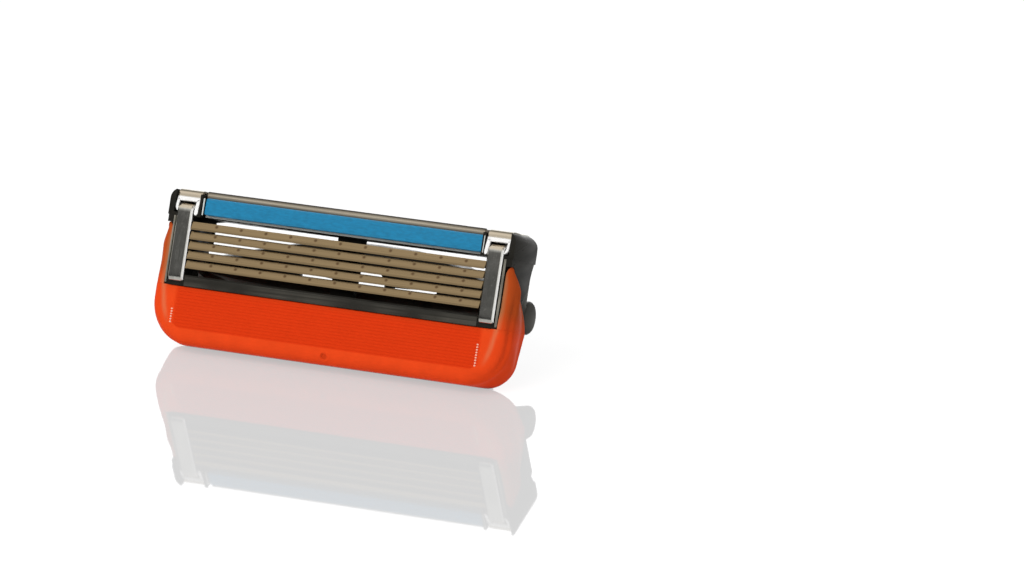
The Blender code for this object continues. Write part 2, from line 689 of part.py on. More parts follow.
def make_guard():
    """The elastomer guard: a rounded front with fins, side arms, and anchors through the base plate."""
    outline = rounded_tray(GUARD_HALF, GUARD_LOW, GUARD_TOP, GUARD_RADIUS, CORNER_STEPS + 2)
    guard = prism("guard", outline, "z", GUARD_REAR_Z, GUARD_FRONT_Z, False)
    for vert in guard.data.vertices:
        if vert.co.z < GUARD_REAR_Z * MM / 2:
            vert.co.z -= (vert.co.y - GUARD_LOW * MM) * GUARD_SLOPE

    def on_front(point):
        return point.z > GUARD_FRONT_Z - SKIN and point.y < GUARD_TOP - SKIN

    def on_heel(point):
        return point.z < GUARD_REAR_Z + SKIN and point.y < GUARD_TOP - SKIN

    round_edges(guard, on_front, GUARD_ROLL, 5)
    heel = guard.modifiers.new("heel", "BEVEL")
    heel.limit_method = "VGROUP"
    heel.width = GUARD_HEEL * MM
    heel.segments = 4
    group = guard.vertex_groups.new(name="heel")
    group.add([v.index for v in guard.data.vertices if on_heel(v.co / MM)], 1.0, "REPLACE")
    heel.vertex_group = "heel"

    def on_arm_front(point):
        outside = abs(point.x) > GUARD_HALF - ARM_ROLL
        return outside and GUARD_TOP < point.y < ARM_TIP_Y - SKIN and point.z > ARM_FRONT_Z - ARM_TIP_FALL

    for side in (-1, 1):
        arm = [
            (GUARD_TOP - OVERLAP, ARM_FRONT_Z),
            (ARM_TIP_Y, ARM_FRONT_Z - ARM_TIP_FALL),
            (ARM_TIP_Y, ARM_TIP_Z),
            (ARM_MID_Y, ARM_MID_Z),
            (ARM_ROOT_Y, ARM_ROOT_Z),
            (GUARD_TOP, GUARD_END_Z + SKIN),
            (GUARD_TOP - OVERLAP, GUARD_END_Z + OVERLAP),
        ]
        reach = sorted((side * (HOUSING_HALF + ARM_GAP), side * (GUARD_HALF - SKIN)))
        guard_arm = prism(f"guard_arm_{side}", arm, "x", *reach)
        round_edges(guard_arm, on_arm_front, ARM_ROLL, 3)
        join(guard, guard_arm)
    low = BASE_LOW - GUARD_GAP
    top = GUARD_TOP + PAST
    radius = BASE_RADIUS + GUARD_GAP
    pocket = rounded_tray(BASE_HALF + GUARD_GAP, low, top, radius, CORNER_STEPS)
    cut(guard, prism("guard_pocket", pocket, "z", GUARD_END_Z - PAST, BASE_FRONT_Z + GUARD_GAP))
    room = rounded_tray(GUARD_HALF - GUARD_WALL, low, top, radius + OVERLAP, CORNER_STEPS)
    cut(guard, prism("swing_room", room, "z", GUARD_END_Z - PAST, GUARD_BACK_Z))
    for side in (-1, 1):
        reach = sorted((side * LOBE_IN, side * (GUARD_HALF - GUARD_WALL - SKIN)))
        swung = swing_of(LOBE_Y, LOBE_Z)
        cut(guard, rod(f"lobe_room_{side}", swung, LOBE_RADIUS + LOBE_PLAY, reach))
    pads = [(-ANCHOR_CENTRE_HALF + GUARD_GAP, ANCHOR_CENTRE_HALF - GUARD_GAP)]
    pads += [sorted((s * (ANCHOR_END_IN + GUARD_GAP), s * (ANCHOR_END_OUT - GUARD_GAP))) for s in (-1, 1)]
    for number, reach in enumerate(pads):
        rows = (ANCHOR_LOW + GUARD_GAP, ANCHOR_TOP - GUARD_GAP)
        join(guard, box(f"pad_{number}", reach, rows, (GUARD_BACK_Z - PAD_RISE, BASE_FRONT_Z + OVERLAP)))
    for number in range(FIN_COUNT - 1):
        top = FIN_TOP - number * FIN_PITCH
        rows = (top - FIN_GROOVE, top)
        cut(guard, box(f"groove_{number}", (-FIN_HALF, FIN_HALF), rows, (GUARD_FRONT_Z - FIN_DEPTH, PAST)))
    return guard


def swing_of(y, z):
    """Where a point of the connector lies in the blade unit at full swing, as (y, z)."""
    swing = math.radians(PIVOT_RANGE)
    across = y - PIVOT_Y
    deep = z - PIVOT_Z
    turned_y = across * math.cos(swing) + deep * math.sin(swing)
    turned_z = deep * math.cos(swing) - across * math.sin(swing)
    return PIVOT_Y + turned_y, PIVOT_Z + turned_z


def make_strip():
    """The blue strip, whose face falls towards its top, and the pale backing under it."""
    shoulder = STRIP_SHOULDER
    top_z = STRIP_FRONT_Z - STRIP_FALL
    section = [
        (STRIP_LOW, STRIP_SPLIT_Z),
        (STRIP_TOP, STRIP_SPLIT_Z),
        (STRIP_TOP, top_z - shoulder),
        (STRIP_TOP - 2 * shoulder, top_z),
        (STRIP_LOW + 2 * shoulder, STRIP_FRONT_Z),
        (STRIP_LOW, STRIP_FRONT_Z - shoulder),
    ]
    half = STRIP_HALF - BACKING_RIM
    strip = prism("lubricating_strip", section, "x", -half, half, False)
    rows = (STRIP_LOW - BACKING_RIM, STRIP_TOP + BACKING_RIM)
    deep = (STRIP_SEAT_Z, STRIP_SPLIT_Z - STRIP_GAP)
    backing = box("strip_backing", (-STRIP_HALF, STRIP_HALF), rows, deep, False)
    return strip, backing


def make_clip(name, side):
    """A clip: a wide head that wraps over the cap, with a band bent out of it across the blade ends."""
    thick = CLIP_THICKNESS
    head = clip_path(0, CLIP_HEAD_LOW) + clip_path(thick, CLIP_HEAD_LOW)[::-1]
    clip = prism(name, head, "x", *sorted((side * CLIP_HEAD_IN, side * CLIP_HEAD_OUT)), False)
    play = CLIP_SLOT_PLAY
    spare = sorted((side * (CLIP_IN - play), side * (CLIP_OUT + play)))
    deep = (CLIP_HEAD_Z - 2 * thick, CLIP_HEAD_Z + thick)
    cut(clip, box(f"clip_window_{side}", spare, (CLIP_HEAD_LOW - PAST, CLIP_BEND_Y - SKIN), deep))
    front = CLIP_HEAD_Z - SKIN
    rear = CLIP_HEAD_Z - thick + SKIN
    band = [
        (CLIP_LOW, CLIP_LEG_Z),
        (CLIP_LOW, -CLIP_CHAMFER),
        (CLIP_LOW + CLIP_CHAMFER, 0),
        (CLIP_NECK_Y, 0),
        (CLIP_BEND_Y, front),
        (CLIP_BEND_Y + OVERLAP, front),
        (CLIP_BEND_Y + OVERLAP, rear),
        (CLIP_BEND_Y - thick / 2, rear),
        (CLIP_NECK_Y - thick / 2, -thick),
        (CLIP_LOW + thick, -thick),
        (CLIP_LOW + thick, CLIP_LEG_Z),
    ]
    join(clip, prism(f"clip_band_{side}", band, "x", *sorted((side * CLIP_IN, side * CLIP_OUT))))
    hole_x = side * (CLIP_HEAD_IN + CLIP_HEAD_OUT) / 2
    deep = (CLIP_INNER_TOP - OVERLAP, CLIP_TOP + OVERLAP)
    cut(clip, rod(f"clip_hole_{side}", (hole_x, CLIP_HOLE_Z), CLIP_HOLE_RADIUS, deep, "y", 16))
    return clip


def make_trimmer():
    """The carrier plate with its front lip, the ribbed comb behind it, and the trimming blade."""
    inner = CARRIER_INNER
    outer = CARRIER_OUTER
    ridge = outer + CARRIER_RIDGE
    section = [
        (CARRIER_LIP_Y, CARRIER_LIP_Z),
        (ridge - CARRIER_CHAMFER, CARRIER_LIP_Z),
        (ridge, CARRIER_LIP_Z - CARRIER_CHAMFER),
        (ridge, CARRIER_LIP_Z - CARRIER_LIP_WIDTH),
        (outer, CARRIER_LIP_Z - CARRIER_LIP_WIDTH - CARRIER_SLOPE),
        (outer, CARRIER_REAR_Z + CARRIER_RAIL_WIDTH + CARRIER_SLOPE),
        (ridge, CARRIER_REAR_Z + CARRIER_RAIL_WIDTH),
        (ridge, CARRIER_REAR_Z),
        (inner, CARRIER_REAR_Z),
        (inner, CARRIER_LIP_Z - CARRIER_THICKNESS),
        (CARRIER_LIP_Y, CARRIER_LIP_Z - CARRIER_THICKNESS),
    ]
    carrier = prism("trimmer_carrier", section, "x", -STRIP_HALF, STRIP_HALF, False)
    deep = (COMB_REAR_Z, COMB_FRONT_Z)
    comb = box("trimmer_comb", (-STRIP_HALF, STRIP_HALF), (inner, inner + COMB_THICKNESS), deep, False)
    step = 2 * (STRIP_HALF - COMB_RIB_WIDTH) / (COMB_RIB_COUNT - 1)
    for number in range(COMB_RIB_COUNT):
        middle = -STRIP_HALF + COMB_RIB_WIDTH + number * step
        reach = (middle - COMB_RIB_WIDTH / 2, middle + COMB_RIB_WIDTH / 2)
        rows = (inner + COMB_THICKNESS / 2, inner + COMB_THICKNESS + COMB_RIB_RISE)
        join(comb, box(f"rib_{number}", reach, rows, (COMB_REAR_Z + SKIN, COMB_FRONT_Z - SKIN)))
    neck = CLIP_HEAD_IN - TRIM_BLADE_NECK
    shoulder = HOUSING_TOP - TRIM_BLADE_SHOULDER
    outline = [
        (-TRIM_BLADE_HALF, TRIM_BLADE_LOW),
        (TRIM_BLADE_HALF, TRIM_BLADE_LOW),
        (TRIM_BLADE_HALF, shoulder),
        (neck, shoulder),
        (neck, TRIM_BLADE_EDGE_Y),
        (-neck, TRIM_BLADE_EDGE_Y),
        (-neck, shoulder),
        (-TRIM_BLADE_HALF, shoulder),
    ]
    blade = prism("trimmer_blade", outline, "z", TRIM_BLADE_REAR_Z, TRIM_BLADE_FRONT_Z, False)
    return carrier, comb, blade


def stop_line(z):
    """The lowest y of the connector at depth z: at full swing this line lies flat behind the guard."""
    deepest = min(GUARD_REAR_Z, GUARD_BACK_Z - BLOCK_RISE) - STOP_CLEARANCE
    swing = math.radians(PIVOT_RANGE)
    depth = (PIVOT_Z - z) * math.cos(swing) - (PIVOT_Z - deepest)
    return PIVOT_Y - depth / math.sin(swing)


def shell_at(z):
    """The outer outline of the connector's wings at depth z: (z, half width, lowest y, highest y)."""
    share = (z - WING_FRONT_Z) / (COLLAR_FRONT_Z - WING_FRONT_Z)
    ease = share * share * (3 - 2 * share)
    half = WING_HALF + (COLLAR_HALF + COLLAR_FLARE - WING_HALF) * ease
    low = max(stop_line(z), COLLAR_LOW)
    wing_top = stop_line(WING_FRONT_Z) + WING_HEIGHT
    top = wing_top + (COLLAR_TOP - wing_top) * math.sin(share * math.pi / 2)
    return z, half, low, top


def shell_stations():
    """The outlines that the connector's shell runs through, from the wings to the end of the collar."""
    rows = [shell_at(WING_FRONT_Z + (COLLAR_FRONT_Z - WING_FRONT_Z) * share) for share in SHELL_SHARES]
    middle_z = (COLLAR_FRONT_Z + COLLAR_REAR_Z) / 2
    rows.append((middle_z, COLLAR_HALF + COLLAR_MID_FLARE, COLLAR_LOW, COLLAR_TOP))
    rows.append((COLLAR_REAR_Z, COLLAR_HALF, COLLAR_LOW, COLLAR_TOP))
    return rows


def shell_ring(mesh, station, inset):
    """One ring of points round the shell, on a rounded rectangle drawn in from the outer outline."""
    z, half, low, top = station
    ring = []
    for k in range(SHELL_POINTS):
        turn = 2 * math.pi * k / SHELL_POINTS
        cosine = math.cos(turn)
        sine = math.sin(turn)
        x = (half - inset) * math.copysign(abs(cosine) ** (2 / SHELL_POWER), cosine)
        y = (top - low - 2 * inset) / 2 * math.copysign(abs(sine) ** (2 / SHELL_POWER), sine)
        ring.append(mesh.verts.new(Vector((x, (top + low) / 2 + y, z)) * MM))
    return ring


def shell_plate(name, near, far, inset):
    """A helper that fills the shell between two outlines, drawn in by an inset."""
    mesh = bmesh.new()
    near = shell_ring(mesh, near, inset)
    far = shell_ring(mesh, far, inset)
    mesh.faces.new(near)
    mesh.faces.new(far)
    for k in range(SHELL_POINTS):
        n = (k + 1) % SHELL_POINTS
        mesh.faces.new((near[k], near[n], far[n], far[k]))
    return new_solid(name, mesh, True)


def make_connector():
    """The connector: a hollow shell from wings to an oval collar, a docking floor, and two pivot arms."""
    mesh = bmesh.new()
    stations = shell_stations()
    rings = [shell_ring(mesh, station, 0) for station in stations]
    rings += [shell_ring(mesh, station, SHELL_WALL) for station in reversed(stations)]
    for here, after in zip(rings, rings[1:] + rings[:1]):
        for k in range(SHELL_POINTS):
            n = (k + 1) % SHELL_POINTS
            mesh.faces.new((here[k], here[n], after[n], after[k]))
    connector = new_solid("connector", mesh, False)
    turns = [math.pi * k / ARCH_STEPS for k in range(ARCH_STEPS + 1)]
    arch = [(ARCH_HALF * math.cos(t), WING_FRONT_Z - ARCH_RISE * math.sin(t)) for t in turns]
    arch += [(-ARCH_HALF, WING_FRONT_Z + PAST), (ARCH_HALF, WING_FRONT_Z + PAST)]
    lowest_top = stop_line(WING_FRONT_Z) + WING_HEIGHT / 2
    cut(connector, prism("arch", arch, "y", lowest_top, COLLAR_TOP + PAST))

    wall = SHELL_WALL / 2
    floor = shell_plate("dock_floor", shell_at(FLOOR_FRONT_Z), shell_at(FLOOR_REAR_Z), wall)
    _, _, low, top = shell_at(DOCK_PAD_Z)
    pad = (COLLAR_HALF, low, top)
    margin = SHELL_WALL + DOCK_PAD_GAP
    pad = shell_plate("dock_pad", (FLOOR_REAR_Z + wall, *pad), (DOCK_PAD_Z, *pad), margin)
    join(connector, floor, pad)

    through = (DOCK_PAD_Z - OVERLAP, FLOOR_FRONT_Z + OVERLAP)
    hole = [(-DOCK_HOLE_HALF, DOCK_Y), (-DOCK_HOLE_HALF, DOCK_Y - DOCK_HOLE_FLAT)]
    hole += [(DOCK_HOLE_HALF, DOCK_Y - DOCK_HOLE_FLAT)]
    hole += arc((0, DOCK_Y), DOCK_HOLE_HALF, 0, 180, 2 * CORNER_STEPS)[:-1]
    cut(connector, prism("dock_hole", hole, "z", *through))
    for side in (-1, 1):
        slot = []
        for step in range(DOCK_SLOT_STEPS + 1):
            share = step / DOCK_SLOT_STEPS
            x = side * (DOCK_SLOT_IN + DOCK_SLOT_LENGTH * share)
            slot.append((x, DOCK_Y - DOCK_SLOT_HEIGHT / 2 + DOCK_SLOT_BOW * share * share))
        slot += [(x, y + DOCK_SLOT_HEIGHT) for x, y in reversed(slot)]
        cut(connector, prism(f"dock_slot_{side}", slot, "z", *through))
    for side in (-1, 1):
        reach = sorted((side * CONNECTOR_ARM_IN, side * CONNECTOR_ARM_OUT))
        across = CONNECTOR_ARM_HALF * math.cos(ARM_SLANT)
        aside = CONNECTOR_ARM_HALF * math.sin(ARM_SLANT)
        bar = [
            (PIVOT_Y + across, PIVOT_Z - aside),
            (PIVOT_Y - across, PIVOT_Z + aside),
            (LOBE_Y - across, LOBE_Z + aside),
            (LOBE_Y + across, LOBE_Z - aside),
        ]
        arm = prism(f"connector_arm_{side}", bar, "x", *reach)
        web = [
            (PIVOT_Y - CONNECTOR_ARM_HALF, WEB_FRONT_Z),
            (WEB_TOP - WEB_ROUND, WEB_FRONT_Z),
            (WEB_TOP, WEB_FRONT_Z - WEB_ROUND),
            (WEB_TOP, WEB_REAR_Z + WEB_ROUND),
            (WEB_TOP - WEB_ROUND, WEB_REAR_Z),
            (PIVOT_Y - CONNECTOR_ARM_HALF, WEB_REAR_Z),
        ]
        join(arm, prism(f"connector_web_{side}", web, "x", *reach))
        eye = rod(f"eye_{side}", (PIVOT_Y, PIVOT_Z), EYE_RADIUS, reach)
        reach = sorted((side * LOBE_IN, side * LOBE_OUT))
        radii = sorted((LOBE_NECK, LOBE_RADIUS), reverse=side < 0)
        lobe = cone(f"lobe_{side}", (LOBE_Y, LOBE_Z), radii, reach)
        round_edges(lobe, lambda point: abs(point.x) > LOBE_OUT - LOBE_ROUND, LOBE_ROUND, 3)
        reach = sorted((side * PIN_IN_X, side * (CONNECTOR_ARM_IN + OVERLAP)))
        pin = rod(f"pin_{side}", (PIVOT_Y, PIVOT_Z), PIN_RADIUS, reach)
        join(connector, lobe, arm, eye, pin)
    return connector


def smooth_by_angle():
    """A node group that shades a mesh smooth, apart from edges sharper than SHARP_ANGLE."""
    group = bpy.data.node_groups.new("smooth_by_angle", "GeometryNodeTree")
    for way in ("INPUT", "OUTPUT"):
        group.interface.new_socket("Geometry", in_out=way, socket_type="NodeSocketGeometry")
    nodes = group.nodes
    angle = nodes.new("GeometryNodeInputMeshEdgeAngle")
    test = nodes.new("FunctionNodeCompare")
    test.operation = "LESS_EQUAL"
    test.inputs["B"].default_value = math.radians(SHARP_ANGLE)
    faces = nodes.new("GeometryNodeSetShadeSmooth")
    edges = nodes.new("GeometryNodeSetShadeSmooth")
    edges.domain = "EDGE"
    start = nodes.new("NodeGroupInput")
    end = nodes.new("NodeGroupOutput")
    link = group.links.new
    link(angle.outputs["Unsigned Angle"], test.inputs["A"])
    link(test.outputs["Result"], edges.inputs["Shade Smooth"])
    link(start.outputs[0], faces.inputs["Geometry"])
    link(faces.outputs["Geometry"], edges.inputs["Geometry"])
    link(edges.outputs["Geometry"], end.inputs[0])
    return group


def hang(pieces, pivot, at):
    """Parents the pieces to an empty on their joint, leaving them where they are."""
    for piece in pieces:
        piece.parent = pivot
        piece.matrix_parent_inverse = Matrix.Translation(Vector(at) * -MM)


def corners():
    """The lowest and the highest corner of the box round the evaluated parts."""
    bpy.context.view_layer.update()
    graph = bpy.context.evaluated_depsgraph_get()
    points = []
    for piece in parts.objects:
        if piece.type == "MESH":
            seen = piece.evaluated_get(graph)
            points += [seen.matrix_world @ vert.co for vert in seen.data.vertices]
    low = [min(point[axis] for point in points) for axis in range(3)]
    high = [max(point[axis] for point in points) for axis in range(3)]
    return low, high


def main():
    global parts, cutters, frame
    for old in list(bpy.data.objects):
        bpy.data.objects.remove(old)
    parts = new_collection("razor_cartridge", False)
    cutters = new_collection("cutters", True)
    frame = new_empty("cartridge_frame", None, (0, 0, 0))
    frame.rotation_euler = (math.radians(90 - LEAN), 0, 0)

    black = new_material("black_plastic", (0.012, 0.011, 0.009), 0.0, 0.35)
    orange = new_material("orange_elastomer", (0.72, 0.045, 0.008), 0.0, 0.5)
    blue = new_material("blue_strip", (0.02, 0.24, 0.41), 0.0, 0.4)
    pale = new_material("pale_backing", (0.6, 0.62, 0.6), 0.0, 0.5)
    steel = new_material("blade_steel", (0.42, 0.36, 0.26), 1.0, 0.3)
    bright = new_material("clip_steel", (0.6, 0.6, 0.58), 1.0, 0.15)

    housing = make_housing()
    guard = make_guard()
    strip, backing = make_strip()
    clips = [make_clip("clip_left", -1), make_clip("clip_right", 1)]
    carrier, comb, trim_blade = make_trimmer()
    connector = make_connector()
    blades = make_blades()

    finish = {black: [housing, comb, connector], orange: [guard], blue: [strip], pale: [backing]}
    finish[steel] = [piece for pair in blades for piece in pair]
    finish[bright] = clips + [carrier, trim_blade]
    smooth = smooth_by_angle()
    for made, pieces in finish.items():
        for piece in pieces:
            piece.data.materials.append(made)
            piece.modifiers.new("smooth", "NODES").node_group = smooth

    at = (0, PIVOT_Y, PIVOT_Z)
    pivot = new_empty("blade_unit_pivot", frame, at)
    hang([housing, guard, strip, backing, carrier, comb, trim_blade] + clips, pivot, at)
    for number, pair in enumerate(blades, 1):
        at = (0, edges_y()[number - 1], BLADE_EDGE_Z)
        slide = new_empty(f"blade_slide_{number}", frame, at)
        hang(pair, slide, at)
    low, high = corners()
    frame.location.y = -(low[1] + high[1]) / 2
    frame.location.z = -low[2]


main()
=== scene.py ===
"""Looks of a razor cartridge: its finned guard, blades, glide strip, finishes, plate and light."""

import json
import math

import bmesh
import bpy
import numpy as np
from mathutils import Matrix, Vector


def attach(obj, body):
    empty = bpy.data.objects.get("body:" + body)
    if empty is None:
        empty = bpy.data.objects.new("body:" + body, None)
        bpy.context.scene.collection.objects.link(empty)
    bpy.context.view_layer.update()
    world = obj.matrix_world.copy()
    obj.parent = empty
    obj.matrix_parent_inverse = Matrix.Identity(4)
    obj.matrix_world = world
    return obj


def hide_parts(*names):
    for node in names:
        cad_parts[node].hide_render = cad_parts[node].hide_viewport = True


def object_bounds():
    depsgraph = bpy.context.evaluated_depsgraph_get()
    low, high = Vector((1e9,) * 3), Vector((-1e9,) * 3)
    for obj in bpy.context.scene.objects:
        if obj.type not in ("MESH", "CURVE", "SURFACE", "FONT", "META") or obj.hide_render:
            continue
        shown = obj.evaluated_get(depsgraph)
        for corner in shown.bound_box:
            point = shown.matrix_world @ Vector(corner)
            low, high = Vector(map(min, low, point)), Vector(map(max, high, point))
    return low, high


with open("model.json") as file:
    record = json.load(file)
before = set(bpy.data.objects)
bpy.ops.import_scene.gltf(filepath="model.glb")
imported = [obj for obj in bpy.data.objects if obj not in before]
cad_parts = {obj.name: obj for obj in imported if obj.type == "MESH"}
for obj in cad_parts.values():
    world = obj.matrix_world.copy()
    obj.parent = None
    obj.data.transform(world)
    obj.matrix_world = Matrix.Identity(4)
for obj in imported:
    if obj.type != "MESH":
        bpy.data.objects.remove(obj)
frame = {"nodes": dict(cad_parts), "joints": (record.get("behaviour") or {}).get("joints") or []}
CAD_BOX = [list(corner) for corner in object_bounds()]

bl_info = {
    "name": "Razor Cartridge Looks",
    "version": (1, 0, 0),
    "blender": (4, 5, 0),
    "location": "View3D > Sidebar > Razor",
    "description": "Dresses the solids of a five-blade razor cartridge",
    "category": "Object",
}

MM = 0.001

# The cartridge frame: x along the blades, y from guard to cap, z out of the shaving face, in mm
LEAN = math.radians(21.0)
AXES = np.array([
    [1.0, 0.0, 0.0],
    [0.0, math.sin(LEAN), math.cos(LEAN)],
    [0.0, -math.cos(LEAN), math.sin(LEAN)],
])
PIVOT = np.array([0.0, -1.2, -3.5])
PIVOT_AT = np.array(next(j["pos_m"] for j in frame["joints"] if j["name"] == "head_pivot"))
ORIGIN = PIVOT_AT - PIVOT @ AXES * MM
SWING = math.radians(45.0)

# The guard's tray
GUARD_TOP = -4.56
GUARD_LOW = -10.8
GUARD_HALF = 20.5
GUARD_RADIUS = 4.75
GUARD_SWELL = 0.62
REAR_RADIUS = 2.9
GUARD_FRONT = -0.4
GUARD_REAR = -4.5
GUARD_END = -6.25
GUARD_HEEL = 0.2
POCKET = (18.0, -9.5, 3.7)
ROOM = (19.6, -9.5, 4.0)
POCKET_Z = -2.4
LEDGE_Z = -4.0
LOBE = (-2.65, -9.3)
LOBE_ROOM = 2.15
LOBE_IN = 13.5
FIN_TOP = -4.75
FIN_LAST = 13
PANEL_HALF = 18.05
BEADS = ((-18.25, -8.5, 6), (17.8, -8.65, 9))
BEAD_PITCH = 0.28
GATE = (0.27, -9.94)
ARM_INNER = 19.68
ARM_TIP = 2.14
ARM_ROOT = -4.9
ARM_REAR = ((-4.9, -6.3), (-4.56, -6.25), (-3.08, -5.5), (0.0, -2.6), (2.05, -1.0))
BULGE_Z = -3.6
BULGE = 0.12
CREASE = 0.2
CREASE_TURN = math.radians(60.0)
# Where the painted highlight runs down the front roll: rows, and its distance from the middle at each
SHEEN = ((-9.0, -7.85, -6.7, -4.83), (18.5, 18.95, 19.3, 19.65))
PADS = ((-4.3, 4.3), (12.7, 16.5), (-16.5, -12.7))
PAD_ROWS = (-8.1, -5.3)
PAD_DEEP = (-4.3, -2.2)

# The blades
BLADE_COUNT = 5
FIRST_EDGE = -2.61
BLADE_PITCH = 1.05
EDGE_Z = -0.12
BLADE_HALF = 17.35
BLADE_WIDTH = 0.92
BLADE_THICKNESS = 0.1
BLADE_TURN = math.radians(21.0)
SPOT_SHIFT = 0.32

# The glide strip
STRIP_ENDS = (-16.2, 16.7)
STRIP_ROWS = (3.3, 5.15)
STRIP_FRONT = -0.32
STRIP_BACK = -1.28
STRIP_FALL = 0.12

# The ribbed bar below the blades, the gussets under the cap, and the ends of the strip's rim
BAR = (17.3, -4.54, -3.5)
BAR_DEEP = (-1.2, -0.31)
SILL = (19.58, -4.54, -4.0)
SILL_DEEP = (-1.6, -0.4)
GUSSET_FRONT = (16.5, 2.52, 3.4, -2.4)
GUSSET_REAR = (14.8, 3.3, 3.9, -6.2)
GUSSET_OUT = 17.4
RIM_ENDS = ((-16.42, -16.27), (16.74, 16.84))
RIM_ROWS = (3.25, 5.1)
RIM_DEEP = (-0.42, -0.3)
CARRIER_SHADE_ROWS = (5.16, 5.5, 5.8)
FRAME_EDGE = ((19.49, -0.23), (19.635, -0.375), (19.55, -0.46), (19.405, -0.315))
FRAME_ROWS = (-4.35, 2.9)

# The clips
CLIP_X = 18.35
CLIP_HALF = 0.915
CLIP_HEAD = (16.93, 19.71)
CLIP_TOP = 5.88
CLIP_BACK = -6.75
CLIP_HOOK = 4.3
CLIP_LOW = -4.15
CLIP_LEG = -2.6
CLIP_BAR = 4.6
CLIP_SHEET = 0.25
CLIP_ROLL = 0.75
CLIP_HEAD_TILT = math.radians(14.0)
CLIP_REAR_ROLL = 1.9
CLIP_HOLE = (-2.7, 0.42)
CLIP_TINES = ((19.38, 19.71, 3.38, 0.34), (16.93, 17.38, 3.15, 0.0))

# The camera, from the photograph's vanishing lines, measured from the cartridge frame's origin
CAMERA_FROM = Vector((0.31350, -0.63865, 0.21800))
CAMERA_RIGHT = Vector((0.90912, 0.41653, 0.0))
CAMERA_UP = Vector((-0.1233, 0.26911, 0.95518))
CAMERA_BACK = Vector((0.39786, -0.86838, 0.29601))


# How much brighter than white the backdrop is, where the plate mirrors it
BACKDROP = 2.1


class RazorSizes(bpy.types.PropertyGroup):
    """Sizes of the finer forms, in millimetres."""

    fin_pitch: bpy.props.FloatProperty(
        name="Fin pitch", description="Distance from one guard fin to the next, in mm", default=0.34, min=0.1)
    fin_groove: bpy.props.FloatProperty(
        name="Fin groove", description="Width of the groove between two fins, in mm", default=0.16, min=0.02)
    fin_depth: bpy.props.FloatProperty(
        name="Fin depth", description="Depth of the groove between two fins, in mm", default=0.05, min=0.0)
    guard_roll: bpy.props.FloatProperty(
        name="Guard roll", description="Radius of the guard's front rim, in mm", default=1.4, min=0.2)
    gate_radius: bpy.props.FloatProperty(
        name="Gate radius", description="Radius of the moulding gate's crater, in mm", default=0.5, min=0.0)
    spot_pitch: bpy.props.FloatProperty(
        name="Weld pitch", description="Distance between the weld spots on a blade, in mm", default=2.95, min=0.5)
    spot_radius: bpy.props.FloatProperty(
        name="Weld radius", description="Radius of a weld spot, in mm", default=0.25, min=0.0)
    blade_grind: bpy.props.FloatProperty(
        name="Blade grind", description="Width of the ground facet along a blade's edge, in mm", default=0.2, min=0.0)
    moulded_edge: bpy.props.FloatProperty(
        name="Moulded edge", description="Rounding of the moulded parts' edges, in mm", default=0.12, min=0.0)
    sheet_edge: bpy.props.FloatProperty(
        name="Sheet edge", description="Rounding of the pressed parts' edges, in mm", default=0.05, min=0.0)


class RazorColours(bpy.types.PropertyGroup):
    """Colours of the finishes."""

    orange: bpy.props.FloatVectorProperty(
        name="Guard", description="Colour of the guard's elastomer", subtype="COLOR", default=(0.74, 0.061, 0.011))
    black: bpy.props.FloatVectorProperty(
        name="Housing", description="Colour of the moulded plastic", subtype="COLOR", default=(0.015, 0.014, 0.0115))
    blade: bpy.props.FloatVectorProperty(
        name="Blades", description="Colour of the coated blade steel", subtype="COLOR", default=(0.33, 0.235, 0.125))
    clip: bpy.props.FloatVectorProperty(
        name="Clips", description="Colour of the clips' polished steel", subtype="COLOR", default=(0.58, 0.57, 0.52))
    carrier: bpy.props.FloatVectorProperty(
        name="Carrier", description="Colour of the trimmer carrier's steel", subtype="COLOR", default=(0.68, 0.58, 0.44))
    strip: bpy.props.FloatVectorProperty(
        name="Strip", description="Colour of the glide strip", subtype="COLOR", default=(0.009, 0.185, 0.35))
    backing: bpy.props.FloatVectorProperty(
        name="Backing", description="Colour of the strip's backing", subtype="COLOR", default=(0.58, 0.60, 0.57))


class RazorStage(bpy.types.PropertyGroup):
    """The plate, the lamp and the camera."""

    lens: bpy.props.FloatProperty(
        name="Lens", description="Focal length of the camera", default=246.09, unit="CAMERA")
    gloss: bpy.props.FloatProperty(
        name="Plate gloss", description="Share of light that the plate mirrors", default=0.13, subtype="FACTOR")
    key: bpy.props.FloatProperty(
        name="Key lamp", description="Power of the soft lamp", default=4.1, unit="POWER")


def place(points):
    """Points of the cartridge frame, in mm, turned back by the lean and set on the pivot, in metres."""
    return np.asarray(points, float) @ AXES * MM + ORIGIN


def grid_faces(rows, cols, first=0, around=False):
    """Quads between neighbouring points of a grid stored row by row; around joins the last column to the first."""
    index = np.arange(rows * cols).reshape(rows, cols) + first
    right = np.roll(index, -1, 1)
    low, high = index, right
    if not around:
        low, high = index[:, :-1], right[:, :-1]
    return np.stack([low[:-1], high[:-1], high[1:], low[1:]], -1).reshape(-1, 4).tolist()


